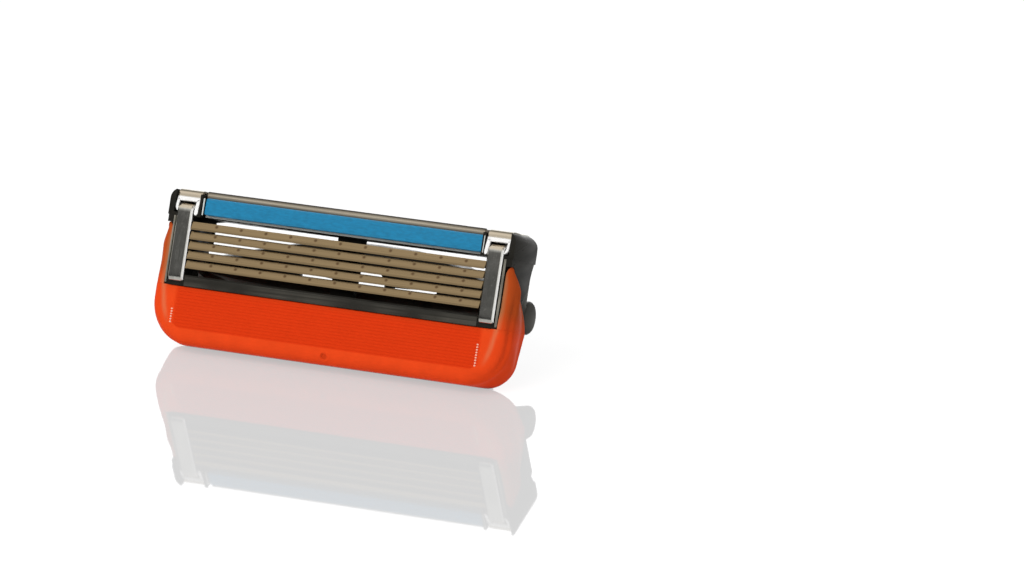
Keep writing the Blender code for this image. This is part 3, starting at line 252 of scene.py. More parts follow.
def put(name, shells, body, nodes, sharp=40.0):
    """One object from closed shells of (points, faces, values), where values are named numbers on the points."""
    points = np.concatenate([shell[0] for shell in shells])
    starts = np.cumsum([0] + [len(shell[0]) for shell in shells[:-1]])
    faces = [[corner + int(start) for corner in face] for shell, start in zip(shells, starts) for face in shell[1]]
    mesh = bpy.data.meshes.new(name)
    mesh.from_pydata(place(points).tolist(), [], faces)
    for key in shells[0][2]:
        values = np.concatenate([shell[2].get(key, np.zeros(len(shell[0]))) for shell in shells])
        mesh.attributes.new(key, "FLOAT", "POINT").data.foreach_set("value", values.astype(np.float32))
    work = bmesh.new()
    work.from_mesh(mesh)
    bmesh.ops.remove_doubles(work, verts=work.verts, dist=1e-7)
    bmesh.ops.recalc_face_normals(work, faces=work.faces)
    work.to_mesh(mesh)
    work.free()
    mesh.shade_smooth()
    mesh.set_sharp_from_angle(angle=math.radians(sharp))
    piece = bpy.data.objects.new(name, mesh)
    bpy.context.scene.collection.objects.link(piece)
    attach(piece, body)
    if nodes:
        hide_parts(*nodes)
    return piece


def smooth_step(value, low, high):
    """0 below low, 1 above high, and an even S between them."""
    share = np.clip((value - low) / (high - low), 0, 1)
    return share * share * (3 - 2 * share)


def rounded(corners, radius, steps=5):
    """A closed outline with each corner replaced by a parabola, whose ends lie radius along both edges."""
    points = np.asarray(corners, float)
    before = np.roll(points, 1, 0) - points
    after = np.roll(points, -1, 0) - points
    reach = [np.minimum(radius, 0.45 * np.linalg.norm(way, axis=1, keepdims=True)) for way in (before, after)]
    start = points + before / np.linalg.norm(before, axis=1, keepdims=True) * reach[0]
    end = points + after / np.linalg.norm(after, axis=1, keepdims=True) * reach[1]
    share = np.linspace(0, 1, steps + 1)[:, None, None]
    bend = (1 - share) ** 2 * start + 2 * share * (1 - share) * points + share ** 2 * end
    return bend.transpose(1, 0, 2).reshape(-1, 2)


def inset(outline, depth):
    """A closed outline moved inwards by depth, each point along the mitre of its two edges."""
    way = np.roll(outline, -1, 0) - outline
    way /= np.linalg.norm(way, axis=1, keepdims=True)
    area = np.sum(outline[:, 0] * np.roll(outline[:, 1], -1) - outline[:, 1] * np.roll(outline[:, 0], -1))
    normal = np.stack([-way[:, 1], way[:, 0]], 1) * np.sign(area)
    last = np.roll(normal, 1, 0)
    mitre = (normal + last) / (1 + np.sum(normal * last, 1, keepdims=True))
    return outline + mitre * depth


def slab(outline, low, high, edge, axis, steps=4):
    """An outline carried from low to high along an axis, drawn in along a quarter circle at both ends."""
    turn = np.linspace(0, math.pi / 2, steps + 1)
    depth = np.concatenate([edge * (1 - np.sin(turn)), edge * (1 - np.sin(turn[::-1]))])
    along = np.concatenate([low + edge * (1 - np.cos(turn)), high - edge * (1 - np.cos(turn[::-1]))])
    rings = np.stack([inset(outline, one) for one in depth])
    columns = [np.broadcast_to(along[:, None], rings.shape[:2]), rings[..., 0], rings[..., 1]]
    order = {"x": (0, 1, 2), "y": (1, 0, 2), "z": (1, 2, 0)}[axis]
    points = np.stack([columns[k] for k in order], -1).reshape(-1, 3)
    count = len(outline)
    faces = grid_faces(len(depth), count, around=True)
    faces += [list(range(count)), list(range(len(points) - count, len(points)))]
    return points, faces, {}


def rim_shares(gate):
    """The shares which every rim of the tray is sampled at: down a side, round a corner, and along the bottom."""
    fine = np.array([0, 0.02, 0.05, 0.09, 0.14, 0.2, 0.27, 0.34])
    side = np.concatenate([fine / 1.77, np.linspace(0.38 / 1.77, 1, 40)[:-1]])
    corner = np.linspace(0, 1, 86)
    straight = GUARD_HALF - GUARD_RADIUS
    across = np.concatenate([np.linspace(-1, 1, 163), (gate + np.linspace(-0.7, 0.7, 36)) / straight])
    return side, corner, np.unique(across)[1:-1]


def rim(half, low, radius, shares):
    """A U-shaped rim: x and y down the left side, round its quarter circle at even drops, along the bottom and back."""
    side, corner, across = shares
    y = np.concatenate([GUARD_TOP + (low + radius - GUARD_TOP) * side, low + radius - radius * corner])
    x = np.concatenate([np.full(len(side), half), half - radius + radius * np.sqrt(1 - corner ** 2)])
    flat = np.full(len(across), low)
    return (np.concatenate([-x, across * (half - radius), x[::-1]]), np.concatenate([y, flat, y[::-1]]), len(y))


def bulge(z, y):
    """How far a side wall stands out between the front roll and the rear edge, fading out round the corner."""
    return BULGE * np.exp(-((z - BULGE_Z) / 1.1) ** 2) * smooth_step(y, -10.3, -8.0)


def crease(turn, y):
    """How deep the soft groove along the front roll is, at a turn of the roll, fading out round the corner."""
    return CREASE * np.exp(-((turn - CREASE_TURN) / math.radians(15)) ** 2) * smooth_step(y, -10.4, -8.2)


def rear_of(y):
    """The tray's rear edge, which slopes back evenly from its bottom to its top."""
    return GUARD_REAR + (GUARD_END - GUARD_REAR) * (y - GUARD_LOW) / (GUARD_TOP - GUARD_LOW)


def moved_out(x, y, z):
    """Points of an outer rim, moved out by the side walls' bulge along the corner's own radius."""
    middle = GUARD_HALF - GUARD_RADIUS
    level = GUARD_LOW + GUARD_RADIUS
    out_x = np.sign(x) * np.clip(np.abs(x) - middle, 0, None)
    out_y = np.clip(y - level, None, 0)
    far = np.maximum(np.hypot(out_x, out_y), 1e-9)
    more = bulge(z, y)
    return np.stack([x + out_x / far * more, y + out_y / far * more, z], 1)


def top_fall(x, y, radius=0.3):
    """How far the front falls towards the top edge, a quarter circle, which fades out where the arms rise."""
    fall = radius - np.sqrt(radius ** 2 - np.clip(radius - (GUARD_TOP - y), 0, radius) ** 2)
    return fall * (1 - smooth_step(np.abs(x), 18.7, 19.5))


def gate_crater(x, y, radius):
    """Height of the gate's mark: a bowl inside radius with a low raised ring round it."""
    far = np.hypot(x - GATE[0], y - GATE[1]) / radius
    return 0.035 * np.exp(-((far - 1.0) / 0.25) ** 2) - 0.16 * (1 - smooth_step(far, 0.45, 0.9))


def clear_of_lobe(points):
    """Points inside the cylinder that the connector's lobe swings into are pushed out to its surface."""
    across, deep = LOBE[0] - PIVOT[1], LOBE[1] - PIVOT[2]
    y = PIVOT[1] + across * math.cos(SWING) + deep * math.sin(SWING)
    z = PIVOT[2] + deep * math.cos(SWING) - across * math.sin(SWING)
    away = points[:, 1:] - (y, z)
    far = np.linalg.norm(away, axis=1)
    inside = (far < LOBE_ROOM) & (np.abs(points[:, 0]) > LOBE_IN) & (np.abs(points[:, 0]) < ROOM[0] + 0.01)
    moved = points.copy()
    moved[inside, 1:] = (y, z) + away[inside] / far[inside, None] * LOBE_ROOM
    return moved


def guard_tray(sizes):
    """The guard's tray: rims from the front roll over the heel to the pocket, and a front of rows with grooves."""
    shares = rim_shares(GATE[0])
    roll = sizes.guard_roll
    rings, grooves = [], []
    for turn in np.linspace(0, math.pi / 2, 25):
        depth = roll * (1 - math.sin(turn))
        x, y, count = rim(GUARD_HALF + GUARD_SWELL - depth, GUARD_LOW + depth, GUARD_RADIUS - depth, shares)
        z = GUARD_FRONT - roll * (1 - math.cos(turn)) - top_fall(x, y) * math.cos(turn)
        z = z + gate_crater(x, y, sizes.gate_radius) * math.cos(turn)
        sunk = crease(turn, y)
        x, z = x - np.sign(x) * sunk * math.sin(turn), z - sunk * math.cos(turn)
        rings.append(moved_out(x, y, z))
    for share in np.linspace(0, 1, 18)[1:-1]:
        swell = GUARD_SWELL * (1 - smooth_step(share, 0.0, 0.9))
        radius = GUARD_RADIUS + (REAR_RADIUS - GUARD_RADIUS) * smooth_step(share, 0.0, 0.9)
        x, y, count = rim(GUARD_HALF + swell, GUARD_LOW, radius, shares)
        wall_low = rear_of(y) + GUARD_HEEL
        rings.append(moved_out(x, y, GUARD_FRONT - roll + (wall_low - GUARD_FRONT + roll) * share))
    for turn in np.linspace(0, math.pi / 2, 7):
        depth = GUARD_HEEL * (1 - math.cos(turn))
        x, y, count = rim(GUARD_HALF - depth, GUARD_LOW + depth, REAR_RADIUS - depth, shares)
        rings.append(moved_out(x, y, rear_of(y) + GUARD_HEEL * (1 - math.sin(turn))))
    for half, low, radius, level in (
        (*ROOM, None), (*ROOM, LEDGE_Z), (*POCKET, LEDGE_Z), (*POCKET, POCKET_Z),
    ):
        x, y, count = rim(half, low, radius, shares)
        z = rear_of(y) if level is None else np.full(len(x), level)
        rings.append(clear_of_lobe(np.stack([x, y, z], 1)))
    around = len(rings[0])
    middle = around - 2 * count
    points = np.concatenate(rings)
    faces = grid_faces(len(rings), around)
    # The pocket's floor, and the flat end at the guard's top
    last = (len(rings) - 1) * around
    faces.append(list(range(last, last + around)))

    # The front: straight rows between the two sides of the first rim
    first = rings[0]
    edge = first[count - 1:count + middle + 1, 0] / abs(first[count - 1, 0])
    half = np.abs(first[:count, 0])
    x = half[:, None] * edge[None, :]
    y = np.broadcast_to(first[:count, 1][:, None], x.shape)
    place_in_pitch = (FIN_TOP - sizes.fin_groove / 2 - y) / sizes.fin_pitch
    wave = np.cos(2 * math.pi * place_in_pitch)
    lip = math.cos(math.pi * sizes.fin_groove / sizes.fin_pitch)
    cut = np.clip((wave - lip) / (1 - lip), 0, 1) ** 0.7
    cut = cut * ((place_in_pitch > -0.5) & (place_in_pitch < FIN_LAST - 0.5))
    inner = np.minimum(PANEL_HALF, half[:, None] - 0.55) - np.abs(x)
    cut = cut * smooth_step(inner, 0.0, 0.22)
    z = GUARD_FRONT - top_fall(x, y) - sizes.fin_depth * cut + gate_crater(x, y, sizes.gate_radius)
    z[:, 0], z[:, -1] = first[:count, 2], first[::-1][:count, 2]
    z[-1] = first[count - 1:count + middle + 1, 2]
    # field marks the finned panel, which the finish gives a deeper colour, partly the panel's own tone and partly
    # painted shade of its grooves
    field = smooth_step(inner, -0.1, 0.15) * smooth_step(y, -9.15, -8.95)
    start = len(points)
    points = np.concatenate([points, np.stack([x, y, z], -1).reshape(-1, 3)])
    cols = x.shape[1]
    faces += grid_faces(count, cols, start)
    left = [ring * around for ring in range(len(rings))]
    right = [ring * around + around - 1 for ring in range(len(rings))]
    faces.append(left[::-1] + list(range(start + 1, start + cols - 1)) + right)
    # groove marks the fins' grooves, which the finish darkens as painted shade
    groove = np.concatenate([np.zeros(start), cut.ravel()])
    panel = np.concatenate([np.zeros(start), field.ravel()])
    # gate marks the moulding gate's bowl, which the finish darkens as painted shade
    gate = 1 - smooth_step(np.hypot(points[:, 0] - GATE[0], points[:, 1] - GATE[1]) / sizes.gate_radius, 0.4, 0.9)
    gate = gate * (points[:, 2] > GUARD_FRONT - 1.5)
    x, y, z = points.T
    # A painted highlight along the start of the front roll, standing in for a soft reflection
    painted_sheen = np.exp(-((np.abs(x) - np.interp(y, *SHEEN)) / 0.24) ** 2) * smooth_step(y, -9.0, -7.0) * (z > -0.9)
    return points, faces, {"groove": groove, "panel": panel, "bead": 0 * gate, "gate": gate, "painted_sheen": painted_sheen}


def guard_bead(x, y):
    """A bead at a fin's end: a small flat ball, half sunk into the front."""
    up, around = np.meshgrid(np.linspace(0, math.pi, 7), np.linspace(0, 2 * math.pi, 11)[:-1], indexing="ij")
    ball = np.stack([np.sin(up) * np.cos(around), np.sin(up) * np.sin(around), np.cos(up)], -1).reshape(-1, 3)
    points = ball * (0.13, 0.1, 0.07) + (x, y, GUARD_FRONT)
    # The finish paints each bead pale, a painted glint at the fin's end
    return points, grid_faces(7, 10, around=True), {"bead": np.ones(len(points))}


def guard_arm(side):
    """A side arm: a section with a front roll, a crease and a thin rear edge, carried up from the tray to the tip."""
    y = np.concatenate([np.linspace(ARM_ROOT, GUARD_TOP - 0.02, 4), np.linspace(GUARD_TOP + 0.01, ARM_TIP - 0.9, 60)])
    y = np.concatenate([y, ARM_TIP - 0.9 * (1 - np.sin(np.linspace(0.05, math.pi / 2, 12)))])[:, None]
    sunk = 0.03 * (y < GUARD_TOP)
    swell = GUARD_SWELL * (1 - smooth_step(y, -0.5, 1.9))
    half = GUARD_HALF + swell - 0.01 - sunk
    thick = half - ARM_INNER
    roll = np.maximum(1.4 - 0.7 * smooth_step(y, -4.4, -1.0), thick + 0.01)
    top = GUARD_FRONT - sunk - 0.22 * smooth_step(y, -4.3, -2.0)
    nodes = np.array(ARM_REAR)
    rear = np.polyval(np.polyfit(nodes[:, 0], nodes[:, 1], 3), y) + sunk
    first = roll - np.sqrt(roll ** 2 - (roll - thick + 0.06) ** 2)
    share = np.linspace(0, 1, 13)[None, :]
    depth = first + (np.minimum(roll, 0.9 * (top - rear)) - first) * share
    draw = roll - np.sqrt(np.clip(roll ** 2 - (roll - depth) ** 2, 0, None))
    turn = np.arccos(np.clip(1 - depth / roll, 0, 1))
    sunk = crease(turn, y) * (1 - smooth_step(y, -2.5, 0.5))
    front_x, front_z = half - draw - sunk * np.sin(turn), top - depth - sunk * np.cos(turn)
    share = np.linspace(0, 1, 26)[None, 1:]
    wall_z = front_z[:, -1:] + (rear + 0.16 - front_z[:, -1:]) * share
    room = smooth_step(top - rear, 2.6, 5.4)
    wall_x = front_x[:, -1:] - swell * smooth_step(share, 0, 0.9) + bulge(wall_z, y) * room * (1 - share ** 6)
    half = half - swell
    turn = np.linspace(0, math.pi / 2, 5)[None, 1:]
    heel_x = half - 0.16 * (1 - np.cos(turn)) + 0 * rear
    heel_z = rear + 0.16 * (1 - np.sin(turn))
    inner_x = np.broadcast_to(np.array([ARM_INNER + 0.06, ARM_INNER, ARM_INNER, ARM_INNER + 0.03]), (len(y), 4))
    inner_z = np.concatenate([rear, rear + 0.06, front_z[:, :1] - 0.06, front_z[:, :1] - 0.01], 1)
    x = np.concatenate([front_x, wall_x, heel_x, inner_x], 1)
    z = np.concatenate([front_z, wall_z, heel_z, inner_z], 1)
    # The tip draws in towards the middle of its own section
    tip = np.sqrt(np.clip(1 - (np.clip(y - ARM_TIP + 0.9, 0, None) / 0.9) ** 2, 0.03, 1))
    middle_x, middle_z = x.mean(1, keepdims=True), z.mean(1, keepdims=True)
    x = middle_x + (x - middle_x) * tip
    z = middle_z + (z - middle_z) * tip
    points = np.stack([side * x, y + 0 * x, z], -1).reshape(-1, 3)
    cols = x.shape[1]
    faces = grid_faces(len(y), cols, around=True)
    faces += [list(range(cols)), list(range(len(points) - cols, len(points)))]
    # A painted highlight along the arm's inner edge
    painted_sheen = np.exp(-((x - ARM_INNER - 0.08) / 0.16) ** 2) * (1 - 0.7 * smooth_step(y, 0.5, 1.8))
    return points, faces, {"painted_sheen": painted_sheen.ravel()}


def guard_pad(reach):
    """A pad through the base plate: a rounded rectangle carried out of the plate's back."""
    low, high = PAD_ROWS
    corners = ((reach[0], low), (reach[1], low), (reach[1], high), (reach[0], high))
    return slab(rounded(corners, 0.35), *PAD_DEEP, 0.12, "z")


def blade_surface(edge_y, sizes):
    """A blade: a flat section with a ground edge carried along x, with a shallow dish at each weld spot."""
    top = np.concatenate([np.linspace(0, 0.28, 10), np.linspace(0.31, BLADE_WIDTH, 20)])
    low = np.array([BLADE_WIDTH, 0.75, 0.5, 0.3, 0.12])
    along = np.concatenate([top, low])
    grind = 0.03 * np.clip(1 - top / max(sizes.blade_grind, 1e-6), 0, 1)
    under = np.array([BLADE_THICKNESS, BLADE_THICKNESS, BLADE_THICKNESS, BLADE_THICKNESS, 0.058])
    below = np.concatenate([grind, under])
    x = np.linspace(-BLADE_HALF, BLADE_HALF, 641)
    grid_x, grid_along = np.meshgrid(x, along, indexing="ij")
    near = (grid_x - SPOT_SHIFT + sizes.spot_pitch / 2) % sizes.spot_pitch - sizes.spot_pitch / 2
    far = np.hypot(near, (grid_along - 0.6) * 1.1) / sizes.spot_radius
    on_top = np.concatenate([np.ones(len(top)), np.zeros(len(low))])[None, :]
    ends = np.abs(grid_x - SPOT_SHIFT) < 5.5 * sizes.spot_pitch
    spot = (1 - smooth_step(far, 0.3, 1.1)) * on_top * ends
    grid_below = below[None, :] + 0.022 * spot
    y = edge_y + grid_along * math.cos(BLADE_TURN) - grid_below * math.sin(BLADE_TURN)
    z = EDGE_Z - grid_along * math.sin(BLADE_TURN) - grid_below * math.cos(BLADE_TURN)
    points = np.stack([grid_x, y, z], -1).reshape(-1, 3)
    cols = len(along)
    faces = grid_faces(len(x), cols, around=True)
    faces += [list(range(cols)), list(range(len(points) - cols, len(points)))]
    facet = np.broadcast_to((along < sizes.blade_grind) & (on_top[0] > 0), grid_x.shape)
    return points, faces, {"spot": spot.ravel(), "facet": facet.astype(float).ravel()}


def bent(path, along):
    """Places along a path of (y, z) points, at distances from its start, and the outward normals there."""
    far = np.concatenate([[0], np.cumsum(np.hypot(*np.diff(path, axis=0).T))])
    way = np.gradient(path, far, axis=0)
    way /= np.linalg.norm(way, axis=1, keepdims=True)
    at = np.stack([np.interp(along, far, path[:, k]) for k in (0, 1)], -1)
    out = np.stack([np.interp(along, far, way[:, 1]), -np.interp(along, far, way[:, 0])], -1)
    return at, out


def eased(path, times=3):
    """A path whose corners are cut at a quarter and three quarters of every edge, again and again."""
    path = np.asarray(path, float)
    for _ in range(times):
        near, far = path[:-1] * 0.75 + path[1:] * 0.25, path[:-1] * 0.25 + path[1:] * 0.75
        path = np.concatenate([path[:1], np.stack([near, far], 1).reshape(-1, 2), path[-1:]])
    return path


def saddle_path():
    """A clip's head as (y, z): up the back, round the rear roll, over the top, round the front roll and down."""
    turn = np.linspace(0, math.pi / 2, 15)[:, None]
    rear = np.hstack([CLIP_TOP - CLIP_REAR_ROLL * (1 - np.sin(turn)), CLIP_BACK + CLIP_REAR_ROLL * (1 - np.cos(turn))])
    turn = np.linspace(0, math.pi / 2 - CLIP_HEAD_TILT, 11)[:, None]
    middle = CLIP_TOP - CLIP_ROLL, -0.76 - CLIP_ROLL
    front = np.hstack([middle[0] + CLIP_ROLL * np.cos(turn), middle[1] + CLIP_ROLL * np.sin(turn)])
    return np.concatenate([rear[rear[:, 0] > CLIP_HOOK], front, head_line(np.array([CLIP_BAR]))])


def head_line(y):
    """The head's front plane, which leans forwards as it goes down from the end of the front roll."""
    start_y = CLIP_TOP - CLIP_ROLL * (1 - math.sin(CLIP_HEAD_TILT))
    start_z = -0.76 - CLIP_ROLL * (1 - math.cos(CLIP_HEAD_TILT))
    return np.stack([y, start_z + (start_y - y) * math.tan(CLIP_HEAD_TILT)], 1)


def saddle(side):
    """A clip's head: rays from a round hole to a rounded rectangle, over and under the sheet, bent along its path."""
    path = saddle_path()
    length = np.hypot(*np.diff(path, axis=0).T).sum()
    low, high = CLIP_HEAD
    corners = rounded(((0, low), (length, low), (length, high), (0, high)), 0.3)
    corners = np.concatenate([corners, corners[:1]])
    far = np.concatenate([[0], np.cumsum(np.hypot(*np.diff(corners, axis=0).T))])
    share = np.linspace(0, far[-1], 193)
    outline = np.stack([np.interp(share, far, corners[:, k]) for k in (0, 1)], 1)
    along = np.linspace(0, length, 400)
    top = bent(path, along)[0]
    hole = np.array([along[np.argmin(np.hypot(top[:, 0] - CLIP_TOP, top[:, 1] - CLIP_HOLE[0]))], (low + high) / 2])
    ray = outline - hole
    reach = np.linalg.norm(ray, axis=1, keepdims=True)
    ray /= reach
    steps = np.linspace(0, 1, 40)[None, :]
    edge = 0.06
    over = CLIP_HOLE[1] + (reach - edge - CLIP_HOLE[1]) * steps
    under = CLIP_HOLE[1] + (reach - CLIP_HOLE[1]) * steps[:, ::-1]
    go = np.concatenate([over, reach, under], 1)
    depth = np.concatenate([np.zeros(40), [edge], np.full(40, CLIP_SHEET)])
    sheet = hole + ray[:, None, :] * go[..., None]
    at, out = bent(path, sheet[..., 0])
    at = at - out * depth[None, :, None]
    points = np.stack([side * sheet[..., 1], at[..., 0], at[..., 1]], -1).reshape(-1, 3)
    # Painted reflections on the head: beige on the front roll, white down the front plate, near-black over the top
    warm_glint = smooth_step(at[..., 1], -3.2, -1.4) * smooth_step(at[..., 0], 4.98, 5.12)
    white_glint = 1 - smooth_step(at[..., 0], 4.98, 5.12)
    white_glint = white_glint * (at[..., 1] > -1.4)
    dark_reflection = smooth_step(at[..., 0], 5.5, 5.72) * smooth_step(at[..., 1], -3.4, -2.4)
    values = {"warm_glint": warm_glint.ravel(), "white_glint": white_glint.ravel(), "dark_reflection": dark_reflection.ravel()}
    return points, grid_faces(len(outline), 81, around=True), values


def ribbon(path, low, high, thick, edge, values):
    """A strip of sheet: a rectangle with chamfered front corners carried along a path between two sides in x."""
    path = np.asarray(path, float)
    far = np.concatenate([[0], np.cumsum(np.hypot(*np.diff(path, axis=0).T))])
    at, out = bent(path, far)
    low, high = np.broadcast_to(low, len(path)), np.broadcast_to(high, len(path))
    x = np.stack([high - edge, high, high, low, low, low + edge], 1)
    depth = np.array([0, edge, thick, thick, edge, 0])
    at = at[:, None, :] - out[:, None, :] * depth[None, :, None]
    points = np.stack([x, at[..., 0], at[..., 1]], -1).reshape(-1, 3)
    faces = grid_faces(len(path), 6, around=True)
    faces += [list(range(6)), list(range(len(points) - 6, len(points)))]
    spread_out = {key: np.broadcast_to(np.reshape(value, (len(path), -1)), (len(path), 6)) for key, value in values.items()}
    return points, faces, {key: value.ravel() for key, value in spread_out.items()}


def clip_shells(side):
    """A clip: its head, the band bent out of it across the blade ends, and the two tines beside the band's neck."""
    bend = [(4.6, -1.2), (4.45, -1.0), (4.27, -0.62), (4.07, -0.28), (3.85, -0.08), (3.6, 0.0), (3.2, 0.0)]
    foot = [(CLIP_LOW + 0.9, 0.0), (CLIP_LOW + 0.4, -0.02), (CLIP_LOW + 0.06, -0.22), (CLIP_LOW, -0.7), (CLIP_LOW, CLIP_LEG)]
    path = eased(bend + foot)
    sides = sorted((side * (CLIP_X - CLIP_HALF), side * (CLIP_X + CLIP_HALF)))
    # Painted highlights on the band: beige over its bend and white along one chamfered edge
    warm_glint = smooth_step(path[:, 0], 3.6, 3.95)
    edge_glint = np.tile((0.0, 1.0, 0.0, 0.0, 0.0, 0.0), (len(path), 1))
    shells = [saddle(side), ribbon(path, *sides, 0.36, 0.2, {"warm_glint": warm_glint, "white_glint": edge_glint})]
    for near, far, end, curl in CLIP_TINES:
        y = end + (4.8 - end) * (1 - np.sin(np.linspace(0, math.pi / 2, 20)))
        draw = (far - near) / 2 * (1 - np.sqrt(np.clip(1 - np.clip(1 - (y - end) / 0.3, 0, 0.9) ** 2, 0, 1)))
        lean = curl * np.clip(1 - (y - end) / 0.7, 0, 1) ** 2
        low, high = near + draw - lean, far - draw - lean
        if side < 0:
            low, high = -high, -low
        # The tines are painted white all over, a painted reflection
        shells.append(ribbon(head_line(y), low, high, 0.3, 0.05, {"warm_glint": 0 * y, "white_glint": 0 * y + 1}))
    return shells


def strip_surface():
    """The glide strip: a rounded rectangle carried forwards, its front falling evenly towards the cap."""
    low, high = STRIP_ROWS
    left, right = STRIP_ENDS
    corners = ((left, low), (right, low), (right, high), (left, high))
    points, faces, values = slab(rounded(corners, 0.3), STRIP_BACK, STRIP_FRONT, 0.2, "z", 6)
    share = (points[:, 1] - low) / (high - low)
    lift = smooth_step(points[:, 2], STRIP_BACK + 0.2, STRIP_BACK + 0.3)
    points[:, 2] -= STRIP_FALL * share * lift
    return points, faces, values


def plate(reach, rows, deep, edge):
    """A flat rectangle with rounded corners, carried forwards between two depths."""
    corners = [(reach[0], rows[0]), (reach[1], rows[0]), (reach[1], rows[1]), (reach[0], rows[1])]
    return slab(rounded(corners, 0.1), *deep, edge, "z")


def gusset(side):
    """A gusset under the cap: two rectangles, the rear one wider and higher, joined by straight faces."""
    rings = []
    for reach, low, high, deep in (GUSSET_FRONT, GUSSET_REAR):
        corners = [(reach, low), (GUSSET_OUT, low), (GUSSET_OUT, high), (reach, high)]
        rings += [(side * x, y, deep) for x, y in corners]
    faces = grid_faces(2, 4, around=True) + [[0, 1, 2, 3], [4, 5, 6, 7]]
    return np.array(rings), faces, {}


def frame_edge(side):
    """The bevel along a rail's outer edge: a slanted bar on the edge, carried from guard to cap, which bears a painted
    highlight.
    """
    points = np.array([(side * x, y, z) for y in FRAME_ROWS for x, z in FRAME_EDGE])
    return points, grid_faces(2, 4, around=True) + [[0, 1, 2, 3], [4, 5, 6, 7]], {}


def new_material(name):
    """A material with only its principled shader and output; gives its node tree and shader."""
    finish = bpy.data.materials.new(name)
    finish.use_nodes = True
    return finish, finish.node_tree, finish.node_tree.nodes["Principled BSDF"]


def add(tree, kind, settings=None, **links):
    """A node with its settings, and its inputs set from values or linked from sockets."""
    node = tree.nodes.new(kind)
    for key, value in (settings or {}).items():
        setattr(node, key, value)
    for key, value in links.items():
        socket = node.inputs[key.replace("_", " ")]
        if isinstance(value, bpy.types.NodeSocket):
            tree.links.new(value, socket)
        else:
            socket.default_value = value
    return node


def noise(tree, scale, detail=3.0, stretch=None):
    """Noise on Object coordinates, at so many waves a metre, stretched by its own share along each axis."""
    at = add(tree, "ShaderNodeTexCoord").outputs["Object"]
    if stretch:
        at = add(tree, "ShaderNodeMapping", Vector=at, Rotation=(LEAN, 0, 0), Scale=stretch).outputs["Vector"]
    return add(tree, "ShaderNodeTexNoise", Vector=at, Scale=scale, Detail=detail).outputs["Fac"]


def spread(tree, value, low, high, start=0.3, end=0.7):
    """A value from start to end spread over low to high."""
    node = add(tree, "ShaderNodeMapRange", Value=value)
    for key, number in zip(("From Min", "From Max", "To Min", "To Max"), (start, end, low, high)):
        node.inputs[key].default_value = number
    return node.outputs["Result"]


def mix(tree, share, first, second, blend="MIX"):
    """Two colours mixed, or multiplied, by a share."""
    node = tree.nodes.new("ShaderNodeMix")
    node.data_type = "RGBA"
    node.blend_type = blend
    for socket, value in ((node.inputs[0], share), (node.inputs[6], first), (node.inputs[7], second)):
        if isinstance(value, bpy.types.NodeSocket):
            tree.links.new(value, socket)
        else:
            socket.default_value = value
    return node.outputs[2]


def shade(colour, share):
    """A colour made lighter or darker by a share, with its alpha."""
    return (*[min(1.0, part * share) for part in colour], 1.0)


def row_of(tree):
    """Where a point is between guard and cap, in mm."""
    at = add(tree, "ShaderNodeTexCoord").outputs["Object"]
    node = tree.nodes.new("ShaderNodeVectorMath")
    node.operation = "DOT_PRODUCT"
    tree.links.new(at, node.inputs[0])
    node.inputs[1].default_value = AXES[1] / MM
    move = tree.nodes.new("ShaderNodeMath")
    move.operation = "SUBTRACT"
    tree.links.new(node.outputs["Value"], move.inputs[0])
    move.inputs[1].default_value = float(ORIGIN @ AXES[1]) / MM
    return move.outputs[0]


def named(tree, key):
    """A named value of the piece's points."""
    return add(tree, "ShaderNodeAttribute", {"attribute_name": key}).outputs["Fac"]


def bump(tree, shader, height, strength, distance):
    """Relief from a height, at a distance in metres."""
    node = add(tree, "ShaderNodeBump", Height=height, Strength=strength, Distance=distance)
    tree.links.new(node.outputs["Normal"], shader.inputs["Normal"])


def orange_elastomer(colour):
    """Satin moulded elastomer: faint clouding, a deeper colour in the finned panel that is partly painted shade,
    painted shade in the grooves, the gate and the arms, painted highlights along the front roll and the arms' inner
    edges, painted glints on the beads, fine grain.
    """
    finish, tree, shader = new_material("orange_elastomer_moulded")
    cloud = spread(tree, noise(tree, 420.0), 0.0, 1.0)
    base = mix(tree, cloud, shade(colour, 0.94), shade(colour, 1.05))
    # The finned panel's deeper colour: partly its own tone, partly painted shade of the fins' grooves
    deep = (colour[0] * 0.84, colour[1] * 0.53, colour[2] * 0.38, 1.0)
    base = mix(tree, spread(tree, named(tree, "panel"), 0.0, 0.75, 0.0, 1.0), base, deep)
    # Painted shade: the fins' grooves darkened
    base = mix(tree, spread(tree, named(tree, "groove"), 0.0, 0.1, 0.0, 1.0), base, shade(colour, 0.5))
    # Painted shade: the gate's bowl darkened
    base = mix(tree, spread(tree, named(tree, "gate"), 0.0, 0.4, 0.0, 1.0), base, shade(colour, 0.35))
    # Painted highlight: a pale line along the front roll and the arms' inner edges
    base = mix(tree, spread(tree, named(tree, "painted_sheen"), 0.0, 0.8, 0.0, 1.0), base, (0.66, 0.16, 0.065, 1.0))
    # Painted shade: the arms darkened and browned from the tray's top upwards
    base = mix(tree, spread(tree, row_of(tree), 0.0, 1.0, -5.2, -2.6), base, (0.58, 1.08, 1.15, 1.0), "MULTIPLY")
    # Painted glints: the beads at the fins' ends made pale
    base = mix(tree, spread(tree, named(tree, "bead"), 0.0, 0.75, 0.2, 0.9), base, (0.95, 0.6, 0.45, 1.0))
    tree.links.new(base, shader.inputs["Base Color"])
    grain = noise(tree, 9000.0, 4.0)
    tree.links.new(spread(tree, grain, 0.30, 0.42), shader.inputs["Roughness"])
    shader.inputs["Specular IOR Level"].default_value = 0.01
    bump(tree, shader, grain, 0.12, 1.2e-5)
    return finish


